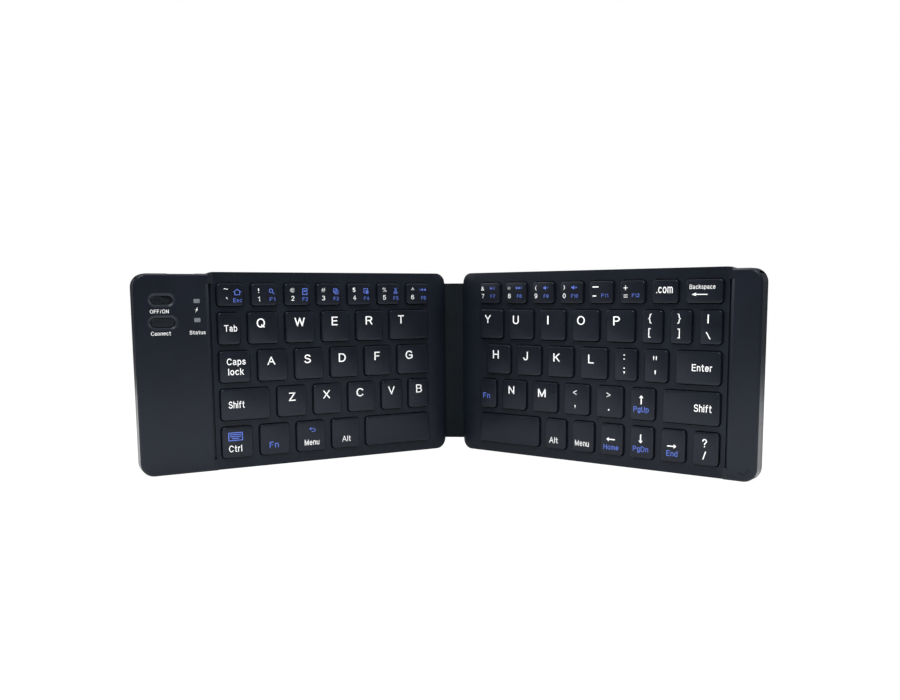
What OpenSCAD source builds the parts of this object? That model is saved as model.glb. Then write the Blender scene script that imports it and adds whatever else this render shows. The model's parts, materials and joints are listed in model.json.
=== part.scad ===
// Folding keyboard: two rigid halves joined by a soft spine band, standing half open on its front edges.
// Each half is drawn flat, with x from its crease to its outer end, y to its rear edge and z up from its
// back face to the keys, and is then stood up and turned about its crease. Millimetres.

/* [Halves] */
// Length of a half, from its crease to its outer end
half_length = 154.5; // [152:0.5:170]
// Depth of a half, from its front edge to its rear edge
half_depth = 90; // [88:0.5:100]
// Height of the key deck above the back face
deck_height = 6.3; // [6.1:0.1:7.5]
// Radius of the four corners of a half
corner_radius = 6; // [4:0.5:8]
// Thickness of the side walls
side_wall = 1.4; // [1:0.1:1.6]
// Thickness of the back, the deck and the end caps
panel = 1.2; // [0.9:0.1:1.3]
// Bevel round the top edge of the end caps
cap_bevel = 0.8; // [0.3:0.1:1.2]
// Bevel round the back face
back_bevel = 1; // [0.4:0.1:1.2]
// Angle by which each half leans forward from flat
lean = 33; // [0:1:60]

/* [End caps] */
// Length of the left end cap
left_cap_length = 32.3; // [31:0.1:36]
// Length of the right end cap
right_cap_length = 12.8; // [12:0.1:16]
// Height of the end caps above the deck
cap_rise = 1.6; // [1.5:0.1:2.2]
// Length of the slope from the deck up to an end cap
ramp_length = 2.4; // [1.5:0.1:3]
// Width of the groove between the deck and an end cap
groove_width = 1.2; // [0.6:0.1:1.5]
// Depth of that groove
groove_depth = 0.8; // [0.4:0.1:0.9]
// Width of the bevel along an end cap's inner edge
inner_bevel = 1.2; // [0.5:0.1:1.4]
// Depth of that bevel
inner_bevel_depth = 0.4; // [0.2:0.1:0.6]
// Distance by which an end cap's rear edge stands back from the deck's
rear_step = 0.8; // [0.4:0.1:1]

/* [Spine] */
// Thickness of the spine band
band_thickness = 1.2; // [1:0.1:1.4]
// Distance from the end of the band to the end of the halves
band_inset = 5; // [4.5:0.1:8]
// Height of the creases above the back face
crease_height = 3.5; // [3.3:0.1:3.7]
// Space between the end caps when the halves are folded shut
closed_gap = 0.4; // [0.3:0.1:1]
// Length of the rolled edge beside the keys
roll_length = 9.5; // [7:0.5:10]
// Length of the rolled edge on the back
back_roll_length = 7; // [5:0.5:8]

/* [Keys] */
// Width of a letter key
letter_width = 14.1; // [13.5:0.1:14.4]
// Width of the tab key
tab_width = 10; // [9.5:0.1:11]
// Width of the two short letter keys beside the spine
short_width = 11.3; // [10.5:0.1:12]
// Width of the T key
t_width = 21.4; // [20:0.1:23]
// Width of the G key
g_width = 17.3; // [16:0.1:19]
// Width of the Y key
y_width = 13.55; // [12.5:0.05:15]
// Width of the left shift key
left_shift_width = 22.9; // [21:0.1:25]
// Width of the right shift key
right_shift_width = 25.75; // [24:0.05:28]
// Width of the left space key
left_space_width = 35.1; // [33:0.1:37]
// Width of the right space key
right_space_width = 34.85; // [33:0.05:37]
// Width of the backspace key
backspace_width = 16.1; // [15:0.1:18]
// Width of the enter key
enter_width = 20.05; // [18:0.05:22]
// Width of a number key
number_width = 11.75; // [11:0.05:12]
// Width of the bracket and slash keys
bracket_width = 9.6; // [9.4:0.1:10]
// Width of the punctuation keys beside the enter key
punctuation_width = 11; // [10:0.1:11.5]
// Width of the arrow keys and of the keys beside them
arrow_width = 11.2; // [10.5:0.1:11.6]
// Width of the up key
up_width = 11.8; // [11:0.1:12.4]
// Width of the right function key
function_width = 9.5; // [9.4:0.1:10]
// Depth of the four lower rows
row_depth = 14.3; // [13.8:0.1:14.6]
// Depth of the number row
number_depth = 10; // [9.5:0.1:11]
// Gap between two keys in a row
key_gap = 3.7; // [3.5:0.1:3.9]
// Gap between two rows
row_gap = 3.1; // [2.9:0.1:3.3]
// Deck in front of and behind the keys
rail_width = 5.2; // [5:0.1:5.6]
// Deck between the left half's crease and its keys
left_key_start = 12.2; // [12:0.1:14]
// Deck between the right half's crease and its keys
right_key_start = 13.75; // [13:0.05:15]
// Extra deck beside the first key of the right half's home row
home_indent = 4; // [1:0.1:5]
// Deck between the keys and an end cap
key_margin = 3.7; // [3.2:0.1:4.5]
// Height of the key tops above the deck
key_proud = 1.45; // [1.2:0.05:1.45]
// Travel of a key
key_travel = 1.4; // [1:0.1:1.5]
// Gap round a key in the deck
key_clearance = 0.4; // [0.3:0.1:0.6]
// Radius of a key's corners
key_radius = 1.6; // [1:0.1:2]
// Bevel round a key's top
key_bevel = 0.35; // [0.2:0.05:0.5]
// Thickness of a key's top
key_shell = 1; // [0.8:0.1:1.1]
// Length of a key's skirt below its top
key_skirt = 2.3; // [2:0.1:2.5]

/* [Key mechanism] */
// Thickness of the steel key plate
plate_thickness = 0.4; // [0.3:0.1:0.5]
// Thickness of the printed switch sheet
sheet_thickness = 0.25; // [0.2:0.05:0.3]
// Thickness of a scissor link
link_thickness = 0.6; // [0.5:0.1:0.7]
// Width of a scissor link's bars
link_bar = 0.6; // [0.5:0.1:0.7]
// Length of a scissor link
link_length = 9.5; // [9:0.1:10]
// Radius of a rubber dome at its foot
dome_radius = 1.7; // [1.4:0.1:1.8]

/* [Controls] */
// Length of the slider's slot
slider_slot = 9.1; // [8.5:0.1:9.5]
// Width of the slider's slot
slider_width = 3.8; // [3.4:0.1:4]
// Length of the slider's knob
knob_length = 5.2; // [4.8:0.1:5.6]
// Length of the connect button's slot
button_slot = 10.6; // [10:0.1:11]
// Width of the connect button's slot
button_width = 4.3; // [4:0.1:4.5]
// Travel of the connect button
button_travel = 0.3; // [0.2:0.05:0.35]
// Width of the sloped rim round both slots
rim_width = 1.3; // [1:0.1:1.6]
// Depth of that rim
rim_depth = 0.6; // [0.4:0.1:0.7]
// Gap round the slider and the button
control_clearance = 0.2; // [0.15:0.05:0.3]
// Length of a status light window
window_length = 2.8; // [2.4:0.1:3.2]
// Width of a status light window
window_width = 1.8; // [1.4:0.1:2.2]
// Width of the notch for the charging plug
port_notch = 12.5; // [11:0.1:13.5]
// Depth of that notch
notch_depth = 0.5; // [0.3:0.1:0.7]

/* [Fixings] */
// Radius of a screw's shank
screw_radius = 0.8; // [0.7:0.05:0.85]
// Radius of a screw's head
head_radius = 1.5; // [1.3:0.1:1.6]
// Radius of a screw boss
boss_radius = 1.4; // [1.3:0.05:1.4]
// Radius of a rubber foot
foot_radius = 4; // [3:0.5:5]
// Height of a rubber foot below the back face
foot_height = 0.6; // [0.4:0.1:1]

/* [Hidden] */
$fn = 48;
clearance = 0.1;              // between pieces that are slid together
snug = 0.02;                  // round a screw in its boss
through = 1;                  // by which a cutter passes the face that it cuts

cap_height = deck_height + cap_rise;
crease_gap = 2 * (cap_height - crease_height) + closed_gap;
band_depth = half_depth - 2 * band_inset;
slot_bottom = crease_height - band_thickness / 2;
slot_top = crease_height + band_thickness / 2;
lip_x = 1;                    // where a half begins, clear of the bead on its crease
lip_thickness = 0.3;
bead_clearance = 0.25;
clamp_x = 10;                 // where the blocks that clamp the band end

function cap_edge(side) = half_length - (side < 0 ? left_cap_length : right_cap_length);
function key_start(side) = side < 0 ? left_key_start : right_key_start;
function key_end(side) = cap_edge(side) - key_margin;
field = half_depth / 2 - rail_width;
cap_rear = half_depth / 2 - rear_step;

// Heights in the key mechanism
plate_top = panel + plate_thickness;
sheet_top = plate_top + sheet_thickness;
key_top = deck_height + key_proud;
key_under = key_top - key_shell;
key_wall = 0.9;
plunger_radius = 1;
plunger_length = 1.2;
dome_top = key_under - plunger_length;
link_side_room = 2.4;         // between a key's two sides and its links, taken together
link_end_room = 2.25;         // between a key's two ends and its links, taken together

// The keys of each row, from the crease outwards, as [node, width]. Each row is stretched to fill its deck.
function letters(names, width) = [for (c = names) [str("key_", c), width]];
function same(count, name, width) = [for (n = [1:count]) [name, width]];
left_rows = [
    same(7, "left_number_keys", number_width),
    concat(letters("t", t_width), letters("rewq", letter_width), same(1, "left_command_keys", tab_width)),
    concat(letters("g", g_width), letters("fdsa", letter_width), same(1, "left_command_keys", letter_width)),
    concat(letters("bv", short_width), letters("cxz", letter_width),
        same(1, "left_command_keys", left_shift_width)),
    concat(same(1, "left_space_key", left_space_width), same(4, "left_command_keys", letter_width)),
];
right_rows = [
    concat(same(7, "right_number_keys", number_width), same(1, "right_number_keys", backspace_width)),
    concat(letters("y", y_width), letters("uiop", letter_width - 0.1),
        same(3, "right_command_keys", bracket_width)),
    concat(letters("hjkl", letter_width - 0.1), same(2, "right_command_keys", punctuation_width),
        same(1, "right_command_keys", enter_width)),
    concat(same(1, "right_command_keys", function_width), letters("nm", letter_width - 0.1),
        same(2, "right_command_keys", letter_width - 0.6), same(1, "right_command_keys", up_width),
        same(1, "right_command_keys", right_shift_width)),
    concat(same(1, "right_space_key", right_space_width), same(6, "right_command_keys", arrow_width)),
];
function total(list, upto) = upto <= 0 ? 0 : list[upto - 1] + total(list, upto - 1);
function filled(row, space) = let (given = total([for (k = row) k[1]], len(row)))
    [for (k = row) k[1] * (space - key_gap * (len(row) - 1)) / given];
function row_start(side, row) = key_start(side) + (side > 0 && row == 2 ? home_indent : 0);
row_stretch = (2 * field - 4 * row_gap) / (number_depth + 4 * row_depth);
function depth_of(row) = row_stretch * (row == 0 ? number_depth : row_depth);
function row_front(row) = row == 0 ? field - depth_of(0) : -field + (4 - row) * (depth_of(row) + row_gap);

// Every key of a half, as [node, x, y, width, depth]
function keys_of(side) = [
    for (row = [0:4])
        let (list = side < 0 ? left_rows[row] : right_rows[row],
            start = row_start(side, row),
            widths = filled(list, key_end(side) - start))
        for (n = [0:len(list) - 1])
            [list[n][0], start + total(widths, n) + n * key_gap, row_front(row), widths[n], depth_of(row)]
];
left_key_nodes = concat(["left_number_keys", "left_command_keys", "left_space_key"],
    [for (c = "qwertasdfgzxcvb") str("key_", c)]);
right_key_nodes = concat(["right_number_keys", "right_command_keys", "right_space_key"],
    [for (c = "yuiophjklnm") str("key_", c)]);

// Where the screws and the feet go, as [x, y]
boss_y = half_depth / 2 - side_wall - boss_radius - clearance;
function deck_bosses(side) = [for (x = [20, key_end(side) - 16], y = [-boss_y, boss_y]) [x, y]];
cap_boss_x = half_length - corner_radius;
cap_bosses = [for (y = [-1, 1]) [cap_boss_x, y * (half_depth / 2 - corner_radius)]];
foot_recess = 0.3;
feet_at = [for (x = [20, half_length - 14], y = [-1, 1]) [x, y * (half_depth / 2 - 10)]];
head_depth = 0.65;
screw_length = 3.4;

// The controls on the left end cap
slider_at = [half_length - 11.85, half_depth / 2 - 12.4];
button_at = [half_length - 12.1, half_depth / 2 - 22.3];
windows_at = [for (y = [12.9, 21.3]) [half_length - 26.9, half_depth / 2 - y]];
port_x = half_length - 21;
slider_travel = slider_slot - knob_length - 2 * control_clearance;
knob_x = slider_at[0] + slider_travel / 2;
control_top = cap_height - rim_depth;
flange = 0.8;
flange_reach = (slider_slot + slider_travel) / 2 + 0.3;
flange_width = slider_width + 1;
flange_top = cap_height - panel - control_clearance;

// The board, the cell and the socket in the left end cap
board_thickness = 0.8;
board_bottom = crease_height - board_thickness;
board = [cap_edge(-1) + 3, -6, 26, cap_rear - side_wall - clearance];
switch_height = flange_top - flange - crease_height - control_clearance;
socket = [9, 7.3, 3];
cell_at = [cap_edge(-1) + 3, -half_depth / 2 + side_wall + 1];
cell_gap = 2.6;               // between the cell and the board
cell = [20, board[1] - cell_gap - cell_at[1], 4];

// The flat cable that joins the switch sheets
flex_width = 20;
flex_thickness = 0.25;
flex_pocket = 0.35;

// Where the creases stand, so that the whole part is centred from front to back
back_roll = [for (t = [90:-10:0]) [lip_x + back_roll_length * (1 - sin(t)),
    (slot_bottom - lip_thickness) * (1 - cos(t))]];
front_reach = max(
    half_length * sin(lean) + (cap_height - cap_bevel - crease_height) * cos(lean),
    (half_length - cap_bevel) * sin(lean) + (cap_height - crease_height) * cos(lean));
back_reach = max(concat([band_thickness / 2],
    [for (p = back_roll) (crease_height - p[1]) * cos(lean) - p[0] * sin(lean)]));
crease_y = (front_reach - back_reach) / 2;

left_nodes = ["left_base_shell", "left_top_frame", "left_end_cap", "left_key_plate", "left_switch_sheet",
    "left_rubber_domes", "left_scissor_links", "left_screws", "left_feet", "left_spine_tail",
    "main_board", "battery", "charging_socket", "light_windows", "power_slider", "connect_button"];
right_nodes = ["right_base_shell", "right_top_frame", "right_end_cap", "right_key_plate",
    "right_switch_sheet", "right_rubber_domes", "right_scissor_links", "right_screws", "right_feet",
    "right_spine_tail"];

shell_colour = "#26292e";
cap_colour = "#2a2d33";
key_colour = "#2b2e35";
rubber_colour = "#1b1c1e";
steel_colour = "#9aa0a6";

// Stands a half up and turns it about its crease: side is 1 for the right half and -1 for the left
module in_half(side) {
    mirror([side < 0 ? 1 : 0, 0, 0])
        translate([crease_gap / 2, crease_y, half_depth / 2])
            rotate([0, 0, -lean])
                rotate([90, 0, 0])
                    translate([0, 0, -crease_height])
                        children();
}

// A box from its lowest corner to its highest
module span(low, high) {
    translate(low)
        cube(high - low);
}

// An outline in x and z, drawn out along y between two places
module along_y(y0, y1) {
    translate([0, y1, 0])
        rotate([90, 0, 0])
            linear_extrude(y1 - y0)
                children();
}

function bevelled(a, b, z0, z1, top, bottom) = concat(
    bottom > 0 ? [[a, z0 + bottom], [a + bottom, z0], [b - bottom, z0], [b, z0 + bottom]]
        : [[a, z0], [b, z0]],
    top > 0 ? [[b, z1 - top], [b - top, z1], [a + top, z1], [a, z1 - top]] : [[b, z1], [a, z1]]);

// A block with round upright edges, and a bevel round its top or its bottom
module bevel_block(low, high, radius, top = 0, bottom = 0) {
    along_y(low[1] + radius, high[1] - radius)
        polygon(bevelled(low[0], high[0], low[2], high[2], top, bottom));
    translate([low[0] + radius, 0, 0])
        rotate([90, 0, 90])
            linear_extrude(high[0] - low[0] - 2 * radius)
                polygon(bevelled(low[1], high[1], low[2], high[2], top, bottom));
    for (x = [low[0] + radius, high[0] - radius], y = [low[1] + radius, high[1] - radius])
        translate([x, y, low[2]]) {
            translate([0, 0, bottom])
                cylinder(r = radius, h = high[2] - low[2] - top - bottom);
            if (bottom > 0)
                cylinder(r1 = radius - bottom, r2 = radius, h = bottom);
            if (top > 0)
                translate([0, 0, high[2] - low[2] - top])
                    cylinder(r1 = radius, r2 = radius - top, h = top);
        }
}

// A slot with round ends, along x, centred on its place
module slot(at, length, width, z0, z1, flare = 0) {
    for (x = [-1, 1])
        translate([at[0] + x * (length - width) / 2, at[1], z0])
            cylinder(r1 = width / 2, r2 = width / 2 + flare, h = z1 - z0);
    translate([at[0] - (length - width) / 2, at[1], 0])
        rotate([90, 0, 90])
            linear_extrude(length - width)
                polygon([[-width / 2, z0], [width / 2, z0],
                    [width / 2 + flare, z1], [-width / 2 - flare, z1]]);
}

// Round posts or holes at a list of places
module posts(places, radius, z0, z1) {
    for (p = places)
        translate([p[0], p[1], z0])
            cylinder(r = radius, h = z1 - z0);
}

// The space inside the walls of a half, between two heights
module inside(x0, x1, z0, z1, rear = half_depth / 2) {
    span([x0, -half_depth / 2 + side_wall, z0], [x1, rear - side_wall, z1]);
}

// The room that the deck takes seen from its key side, with its rear edge led back to the end cap's
module deck_room(side) {
    end = cap_edge(side);
    translate([0, 0, -through])
        linear_extrude(cap_height + 2 * through)
            polygon([[0, -half_depth], [end, -half_depth], [end, cap_rear],
                [end - ramp_length, half_depth / 2], [end - ramp_length, half_depth], [0, half_depth]]);
}

// The pocket that clamps the end of the band
module band_pocket() {
    span([-through, -band_depth / 2 - clearance, slot_bottom], [clamp_x, band_depth / 2 + clearance, slot_top]);
}

// The notch round the charging socket
module port_cut() {
    span([port_x - port_notch / 2, cap_rear - notch_depth, back_bevel],
        [port_x + port_notch / 2, cap_rear + through, cap_height + through]);
    span([port_x - socket[0] / 2 - clearance, cap_rear - side_wall - through, crease_height],
        [port_x + socket[0] / 2 + clearance, cap_rear + through, crease_height + socket[2] + clearance]);
}

module base_shell(side) {
    bosses = concat(deck_bosses(side), cap_bosses);
    end = cap_edge(side);
    color(shell_colour)
        difference() {
            union() {
                difference() {
                    intersection() {
                        union() {
                            intersection() {
                                bevel_block([lip_x, -half_depth / 2, 0], [half_length, half_depth / 2,
                                    crease_height], corner_radius, bottom = back_bevel);
                                deck_room(side);
                            }
                            intersection() {
                                bevel_block([lip_x, -half_depth / 2, 0], [half_length, cap_rear,
                                    crease_height], corner_radius, bottom = back_bevel);
                                span([end - ramp_length, -half_depth, -through],
                                    [half_length + through, half_depth, cap_height]);
                            }
                        }
                        along_y(-half_depth / 2, half_depth / 2)
                            polygon(concat(back_roll,
                                [[half_length, 0], [half_length, crease_height], [lip_x, crease_height]]));
                    }
                    inside(clamp_x, end, panel, crease_height + through);
                    inside(end - through, half_length - side_wall, panel, crease_height + through, cap_rear);
                    band_pocket();
                }
                if (side < 0)
                    posts([for (x = [board[0] + 5, board[0] + board[2] - 5], y = [-3, board[3] - 20])
                        [x, y]], 1.2, panel, board_bottom);
            }
            if (side < 0)
                port_cut();
            posts(bosses, screw_radius + clearance, -through, panel + through);
            posts(bosses, head_radius + clearance, -through, head_depth);
            posts(feet_at, foot_radius, -through, foot_recess);
        }
}

module top_frame(side) {
    end = cap_edge(side);
    roll_height = deck_height - slot_top - lip_thickness;
    roll = [for (t = [0:10:90]) [lip_x + roll_length * (1 - sin(t)), slot_top + lip_thickness
        + roll_height * cos(t)]];
    color(shell_colour)
        difference() {
            union() {
                difference() {
                    intersection() {
                        bevel_block([lip_x, -half_depth / 2, crease_height],
                            [half_length, half_depth / 2, cap_height], corner_radius, top = cap_bevel);
                        deck_room(side);
                        union() {
                            along_y(-half_depth / 2, half_depth / 2)
                                polygon(concat(roll,
                                    [[lip_x, crease_height], [end, crease_height], [end, deck_height]]));
                            for (y = [-half_depth / 2, field])
                                along_y(y, y + rail_width)
                                    polygon([[end - ramp_length, deck_height - panel],
                                        [end, deck_height - panel], [end, cap_height],
                                        [end - ramp_length, deck_height]]);
                        }
                    }
                    inside(clamp_x, end + through, crease_height - through, deck_height - panel);
                    band_pocket();
                }
                posts(deck_bosses(side), boss_radius, panel, deck_height - panel);
            }
            for (k = keys_of(side))
                key_block(k, key_clearance, deck_height - panel - through, deck_height + through);
            span([end - groove_width, -field, deck_height - groove_depth],
                [end + through, field, deck_height + through]);
            posts(deck_bosses(side), screw_radius + snug, panel - through, panel + screw_length);
        }
}

// An upright block with a key's outline, wider than the key all round by a gap
module key_block(k, gap, z0, z1) {
    bevel_block([k[1] - gap, k[2] - gap, z0], [k[1] + k[3] + gap, k[2] + k[4] + gap, z1], key_radius + gap);
}

module end_cap(side) {
    start = cap_edge(side);
    color(cap_colour)
        difference() {
            union() {
                difference() {
                    intersection() {
                        bevel_block([lip_x, -half_depth / 2, crease_height],
                            [half_length, cap_rear, cap_height], corner_radius, top = cap_bevel);
                        span([start, -half_depth / 2, crease_height], [half_length, cap_rear, cap_height]);
                    }
                    inside(start + side_wall, half_length - side_wall, crease_height - through,
                        cap_height - panel, cap_rear);
                    inside(start - through, start + side_wall + through, crease_height - through,
                        deck_height - panel, cap_rear);
                    along_y(-field, field)
                        polygon([[start - through, cap_height - inner_bevel_depth],
                            [start, cap_height - inner_bevel_depth], [start + inner_bevel, cap_height],
                            [start + inner_bevel, cap_height + through],
                            [start - through, cap_height + through]]);
                }
                posts(cap_bosses, boss_radius, panel, cap_height - panel);
            }
            posts(cap_bosses, screw_radius + snug, panel - through, panel + screw_length);
            if (side < 0) {
                port_cut();
                slot(slider_at, slider_slot, slider_width, crease_height, cap_height);
                slot(slider_at, slider_slot, slider_width, control_top, cap_height, rim_width);
                slot(button_at, button_slot, button_width, crease_height, cap_height);
                slot(button_at, button_slot, button_width, control_top, cap_height, rim_width);
                for (w = windows_at)
                    span([w[0] - window_length / 2, w[1] - window_width / 2, crease_height],
                        [w[0] + window_length / 2, w[1] + window_width / 2, cap_height + through]);
            } else {
                corner_mark();
            }
        }
}

// The short curved groove inside the right end cap's front corner
module corner_mark() {
    mark_radius = 2.8;
    mark_width = 0.8;
    mark_depth = 0.3;
    translate([half_length - corner_radius, -half_depth / 2 + corner_radius, cap_height - mark_depth])
        rotate([0, 0, -120])
            rotate_extrude(angle = 110)
                translate([mark_radius - mark_width / 2, 0])
                    square([mark_width, mark_depth + through]);
}

module key_plate(side) {
    color(steel_colour)
        span([clamp_x + 1, -field - 0.5, panel], [cap_edge(side) - groove_width, field + 0.5, plate_top]);
}

module switch_sheet(side) {
    edge = clamp_x + 1.5;
    riser = clamp_x + clearance;
    low = crease_height - flex_thickness / 2;
    high = crease_height + flex_thickness / 2;
    outer = cap_edge(side) - groove_width - 0.5;
    color("#c9b97a") {
        span([edge, -field, plate_top], [outer, field, sheet_top]);
        along_y(-flex_width / 2, flex_width / 2)
            polygon([[edge, plate_top], [riser, plate_top], [riser, low], [lip_x + clearance, low],
                [lip_x + clearance, high], [riser + sheet_thickness, high],
                [riser + sheet_thickness, sheet_top], [edge, sheet_top]]);
        if (side < 0)
            along_y(board[1] + 1, board[1] + 11)
                polygon([[outer, plate_top], [board[0] + 2, plate_top], [board[0] + 2, board_bottom],
                    [board[0] + 2 - sheet_thickness, board_bottom],
                    [board[0] + 2 - sheet_thickness, sheet_top], [outer, sheet_top]]);
    }
}

// The middle of a key, where its dome and its plunger stand
function middle_of(k) = [k[1] + k[3] / 2, k[2] + k[4] / 2];

module rubber_domes(side) {
    color("#b9bec4")
        for (k = keys_of(side))
            translate([middle_of(k)[0], middle_of(k)[1], sheet_top])
                cylinder(r1 = dome_radius, r2 = plunger_radius, h = dome_top - sheet_top);
}

// One flat ring of a scissor, tilted about its own middle
module link(width, length, tilt) {
    rotate([tilt, 0, 0])
        difference() {
            cube([width, length, link_thickness], center = true);
            cube([width - 2 * link_bar, length - 2 * link_bar, 2 * link_thickness], center = true);
        }
}

module scissor_links(side) {
    rise = key_under - sheet_top;
    color("#d8dadc")
        for (k = keys_of(side)) {
            turned = k[4] < depth_of(1);
            width = min(turned ? k[4] : k[3], depth_of(1)) - link_side_room;
            length = min(link_length, (turned ? k[3] : k[4]) - link_end_room);
            tilt = asin((rise - link_thickness) / length);
            for (shift = k[3] > 30 ? [-k[3] / 4, k[3] / 4] : [0])
                translate([middle_of(k)[0] + shift, middle_of(k)[1], (key_under + sheet_top) / 2])
                    rotate([0, 0, turned ? 90 : 0]) {
                        link(width, length, tilt);
                        link(width - 2 * link_bar - 2 * clearance, length, -tilt);
                    }
        }
}

module key_caps(side, name) {
    color(key_colour)
        for (k = keys_of(side))
            if (k[0] == name)
                union() {
                    difference() {
                        bevel_block([k[1], k[2], key_top - key_skirt], [k[1] + k[3], k[2] + k[4], key_top],
                            key_radius, top = key_bevel);
                        span([k[1] + key_wall, k[2] + key_wall, key_top - key_skirt - through],
                            [k[1] + k[3] - key_wall, k[2] + k[4] - key_wall, key_under]);
                    }
                    posts([middle_of(k)], plunger_radius, dome_top, key_under);
                }
}

module screws(side) {
    color(steel_colour)
        for (p = concat(deck_bosses(side), cap_bosses)) {
            posts([p], head_radius, 0, head_depth);
            posts([p], screw_radius, head_depth, panel + screw_length - clearance);
        }
}

module feet() {
    color(rubber_colour)
        posts(feet_at, foot_radius, -foot_height, foot_recess);
}

module spine_tail() {
    color(rubber_colour)
        difference() {
            span([lip_x, -band_depth / 2, slot_bottom], [clamp_x, band_depth / 2, slot_top]);
            span([0, -flex_width / 2 - clearance, crease_height - flex_pocket / 2],
                [clamp_x + through, flex_width / 2 + clearance, crease_height + flex_pocket / 2]);
        }
}

// The band between the creases, with a round bead on each crease
module spine_skin() {
    color(rubber_colour)
        translate([0, crease_y, band_inset])
            difference() {
                union() {
                    translate([-crease_gap / 2, -band_thickness / 2, 0])
                        cube([crease_gap, band_thickness, band_depth]);
                    for (x = [-1, 1])
                        translate([x * crease_gap / 2, 0, 0])
                            cylinder(d = band_thickness, h = band_depth);
                }
                translate([-crease_gap, -flex_pocket / 2, band_depth / 2 - flex_width / 2 - clearance])
                    cube([2 * crease_gap, flex_pocket, flex_width + 2 * clearance]);
            }
}

module spine_flex() {
    length = crease_gap - 2 * bead_clearance;
    color("#c07a2c")
        translate([-length / 2, crease_y - flex_thickness / 2, half_depth / 2 - flex_width / 2])
            cube([length, flex_thickness, flex_width]);
}

module main_board() {
    color("#1f5b3a")
        difference() {
            span([board[0], board[1], board_bottom], [board[0] + board[2], board[3], crease_height]);
            posts(cap_bosses, boss_radius + 2 * clearance, 0, cap_height);
        }
    // Slide switch, push switch, two lamps, two chips
    color("#3a3d42") {
        span([slider_at[0] - 4, slider_at[1] - 1.6, crease_height],
            [slider_at[0] + 4, slider_at[1] + 1.6, crease_height + switch_height]);
        span([button_at[0] - 1.8, button_at[1] - 1.8, crease_height],
            [button_at[0] + 1.8, button_at[1] + 1.8, crease_height + 1.2]);
        span([board[0] + 6, 0, crease_height], [board[0] + 12, 6, crease_height + 1]);
        span([board[0] + 16, 3, crease_height], [board[0] + 20, 7, crease_height + 0.9]);
    }
    color("white")
        for (w = windows_at)
            span([w[0] - 0.8, w[1] - 0.5, crease_height], [w[0] + 0.8, w[1] + 0.5, crease_height + 0.6]);
}

module battery() {
    color("#7d8790")
        span([cell_at[0], cell_at[1], panel], [cell_at[0] + cell[0], cell_at[1] + cell[1], panel + cell[2]]);
}

module charging_socket() {
    metal = 0.3;
    mouth = cap_rear - side_wall - clearance;
    color("silver")
        difference() {
            span([port_x - socket[0] / 2, mouth - socket[1], crease_height],
                [port_x + socket[0] / 2, mouth, crease_height + socket[2]]);
            span([port_x - socket[0] / 2 + metal, mouth - socket[1] + 1, crease_height + metal],
                [port_x + socket[0] / 2 - metal, mouth + through, crease_height + socket[2] - metal]);
        }
    color("#111214")
        span([port_x - 3.2, mouth - socket[1] + 1, crease_height + 1.15],
            [port_x + 3.2, mouth - 1.5, crease_height + 1.85]);
}

module light_windows() {
    color("#a9adb3")
        for (w = windows_at)
            span([w[0] - window_length / 2, w[1] - window_width / 2, crease_height + 0.8],
                [w[0] + window_length / 2, w[1] + window_width / 2, cap_height]);
}

module power_slider() {
    color(key_colour) {
        slot([knob_x, slider_at[1]], knob_length, slider_width - 2 * control_clearance, flange_top,
            control_top);
        span([knob_x - flange_reach, slider_at[1] - flange_width / 2, flange_top - flange],
            [knob_x + flange_reach, slider_at[1] + flange_width / 2, flange_top]);
        span([knob_x - 1, slider_at[1] - 0.7, crease_height + switch_height],
            [knob_x + 1, slider_at[1] + 0.7, flange_top - flange]);
    }
}

module connect_button() {
    color(key_colour) {
        slot(button_at, button_slot - 2 * control_clearance, button_width - 2 * control_clearance,
            flange_top, control_top);
        span([button_at[0] - 6, button_at[1] - 2.8, flange_top - 0.6],
            [button_at[0] + 6, button_at[1] + 2.8, flange_top]);
        posts([button_at], 1, crease_height + 1.2 + button_travel + clearance / 2, flange_top - 0.6);
    }
}

in_half(-1) base_shell(-1);  // left_base_shell
in_half(-1) top_frame(-1);  // left_top_frame
in_half(-1) end_cap(-1);  // left_end_cap
in_half(-1) key_plate(-1);  // left_key_plate
in_half(-1) switch_sheet(-1);  // left_switch_sheet
in_half(-1) rubber_domes(-1);  // left_rubber_domes
in_half(-1) scissor_links(-1);  // left_scissor_links
in_half(-1) screws(-1);  // left_screws
in_half(-1) feet();  // left_feet
in_half(-1) spine_tail();  // left_spine_tail
in_half(-1) main_board();
in_half(-1) battery();
in_half(-1) charging_socket();
in_half(-1) light_windows();
in_half(-1) power_slider();
in_half(-1) connect_button();
spine_skin();
spine_flex();
in_half(1) base_shell(1);  // right_base_shell
in_half(1) top_frame(1);  // right_top_frame
in_half(1) end_cap(1);  // right_end_cap
in_half(1) key_plate(1);  // right_key_plate
in_half(1) switch_sheet(1);  // right_switch_sheet
in_half(1) rubber_domes(1);  // right_rubber_domes
in_half(1) scissor_links(1);  // right_scissor_links
in_half(1) screws(1);  // right_screws
in_half(1) feet();  // right_feet
in_half(1) spine_tail();  // right_spine_tail
for (name = left_key_nodes)
    in_half(-1) key_caps(-1, name);
for (name = right_key_nodes)
    in_half(1) key_caps(1, name);
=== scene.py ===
import json
import math
import bmesh
import bpy
from mathutils import Matrix, Vector


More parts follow.
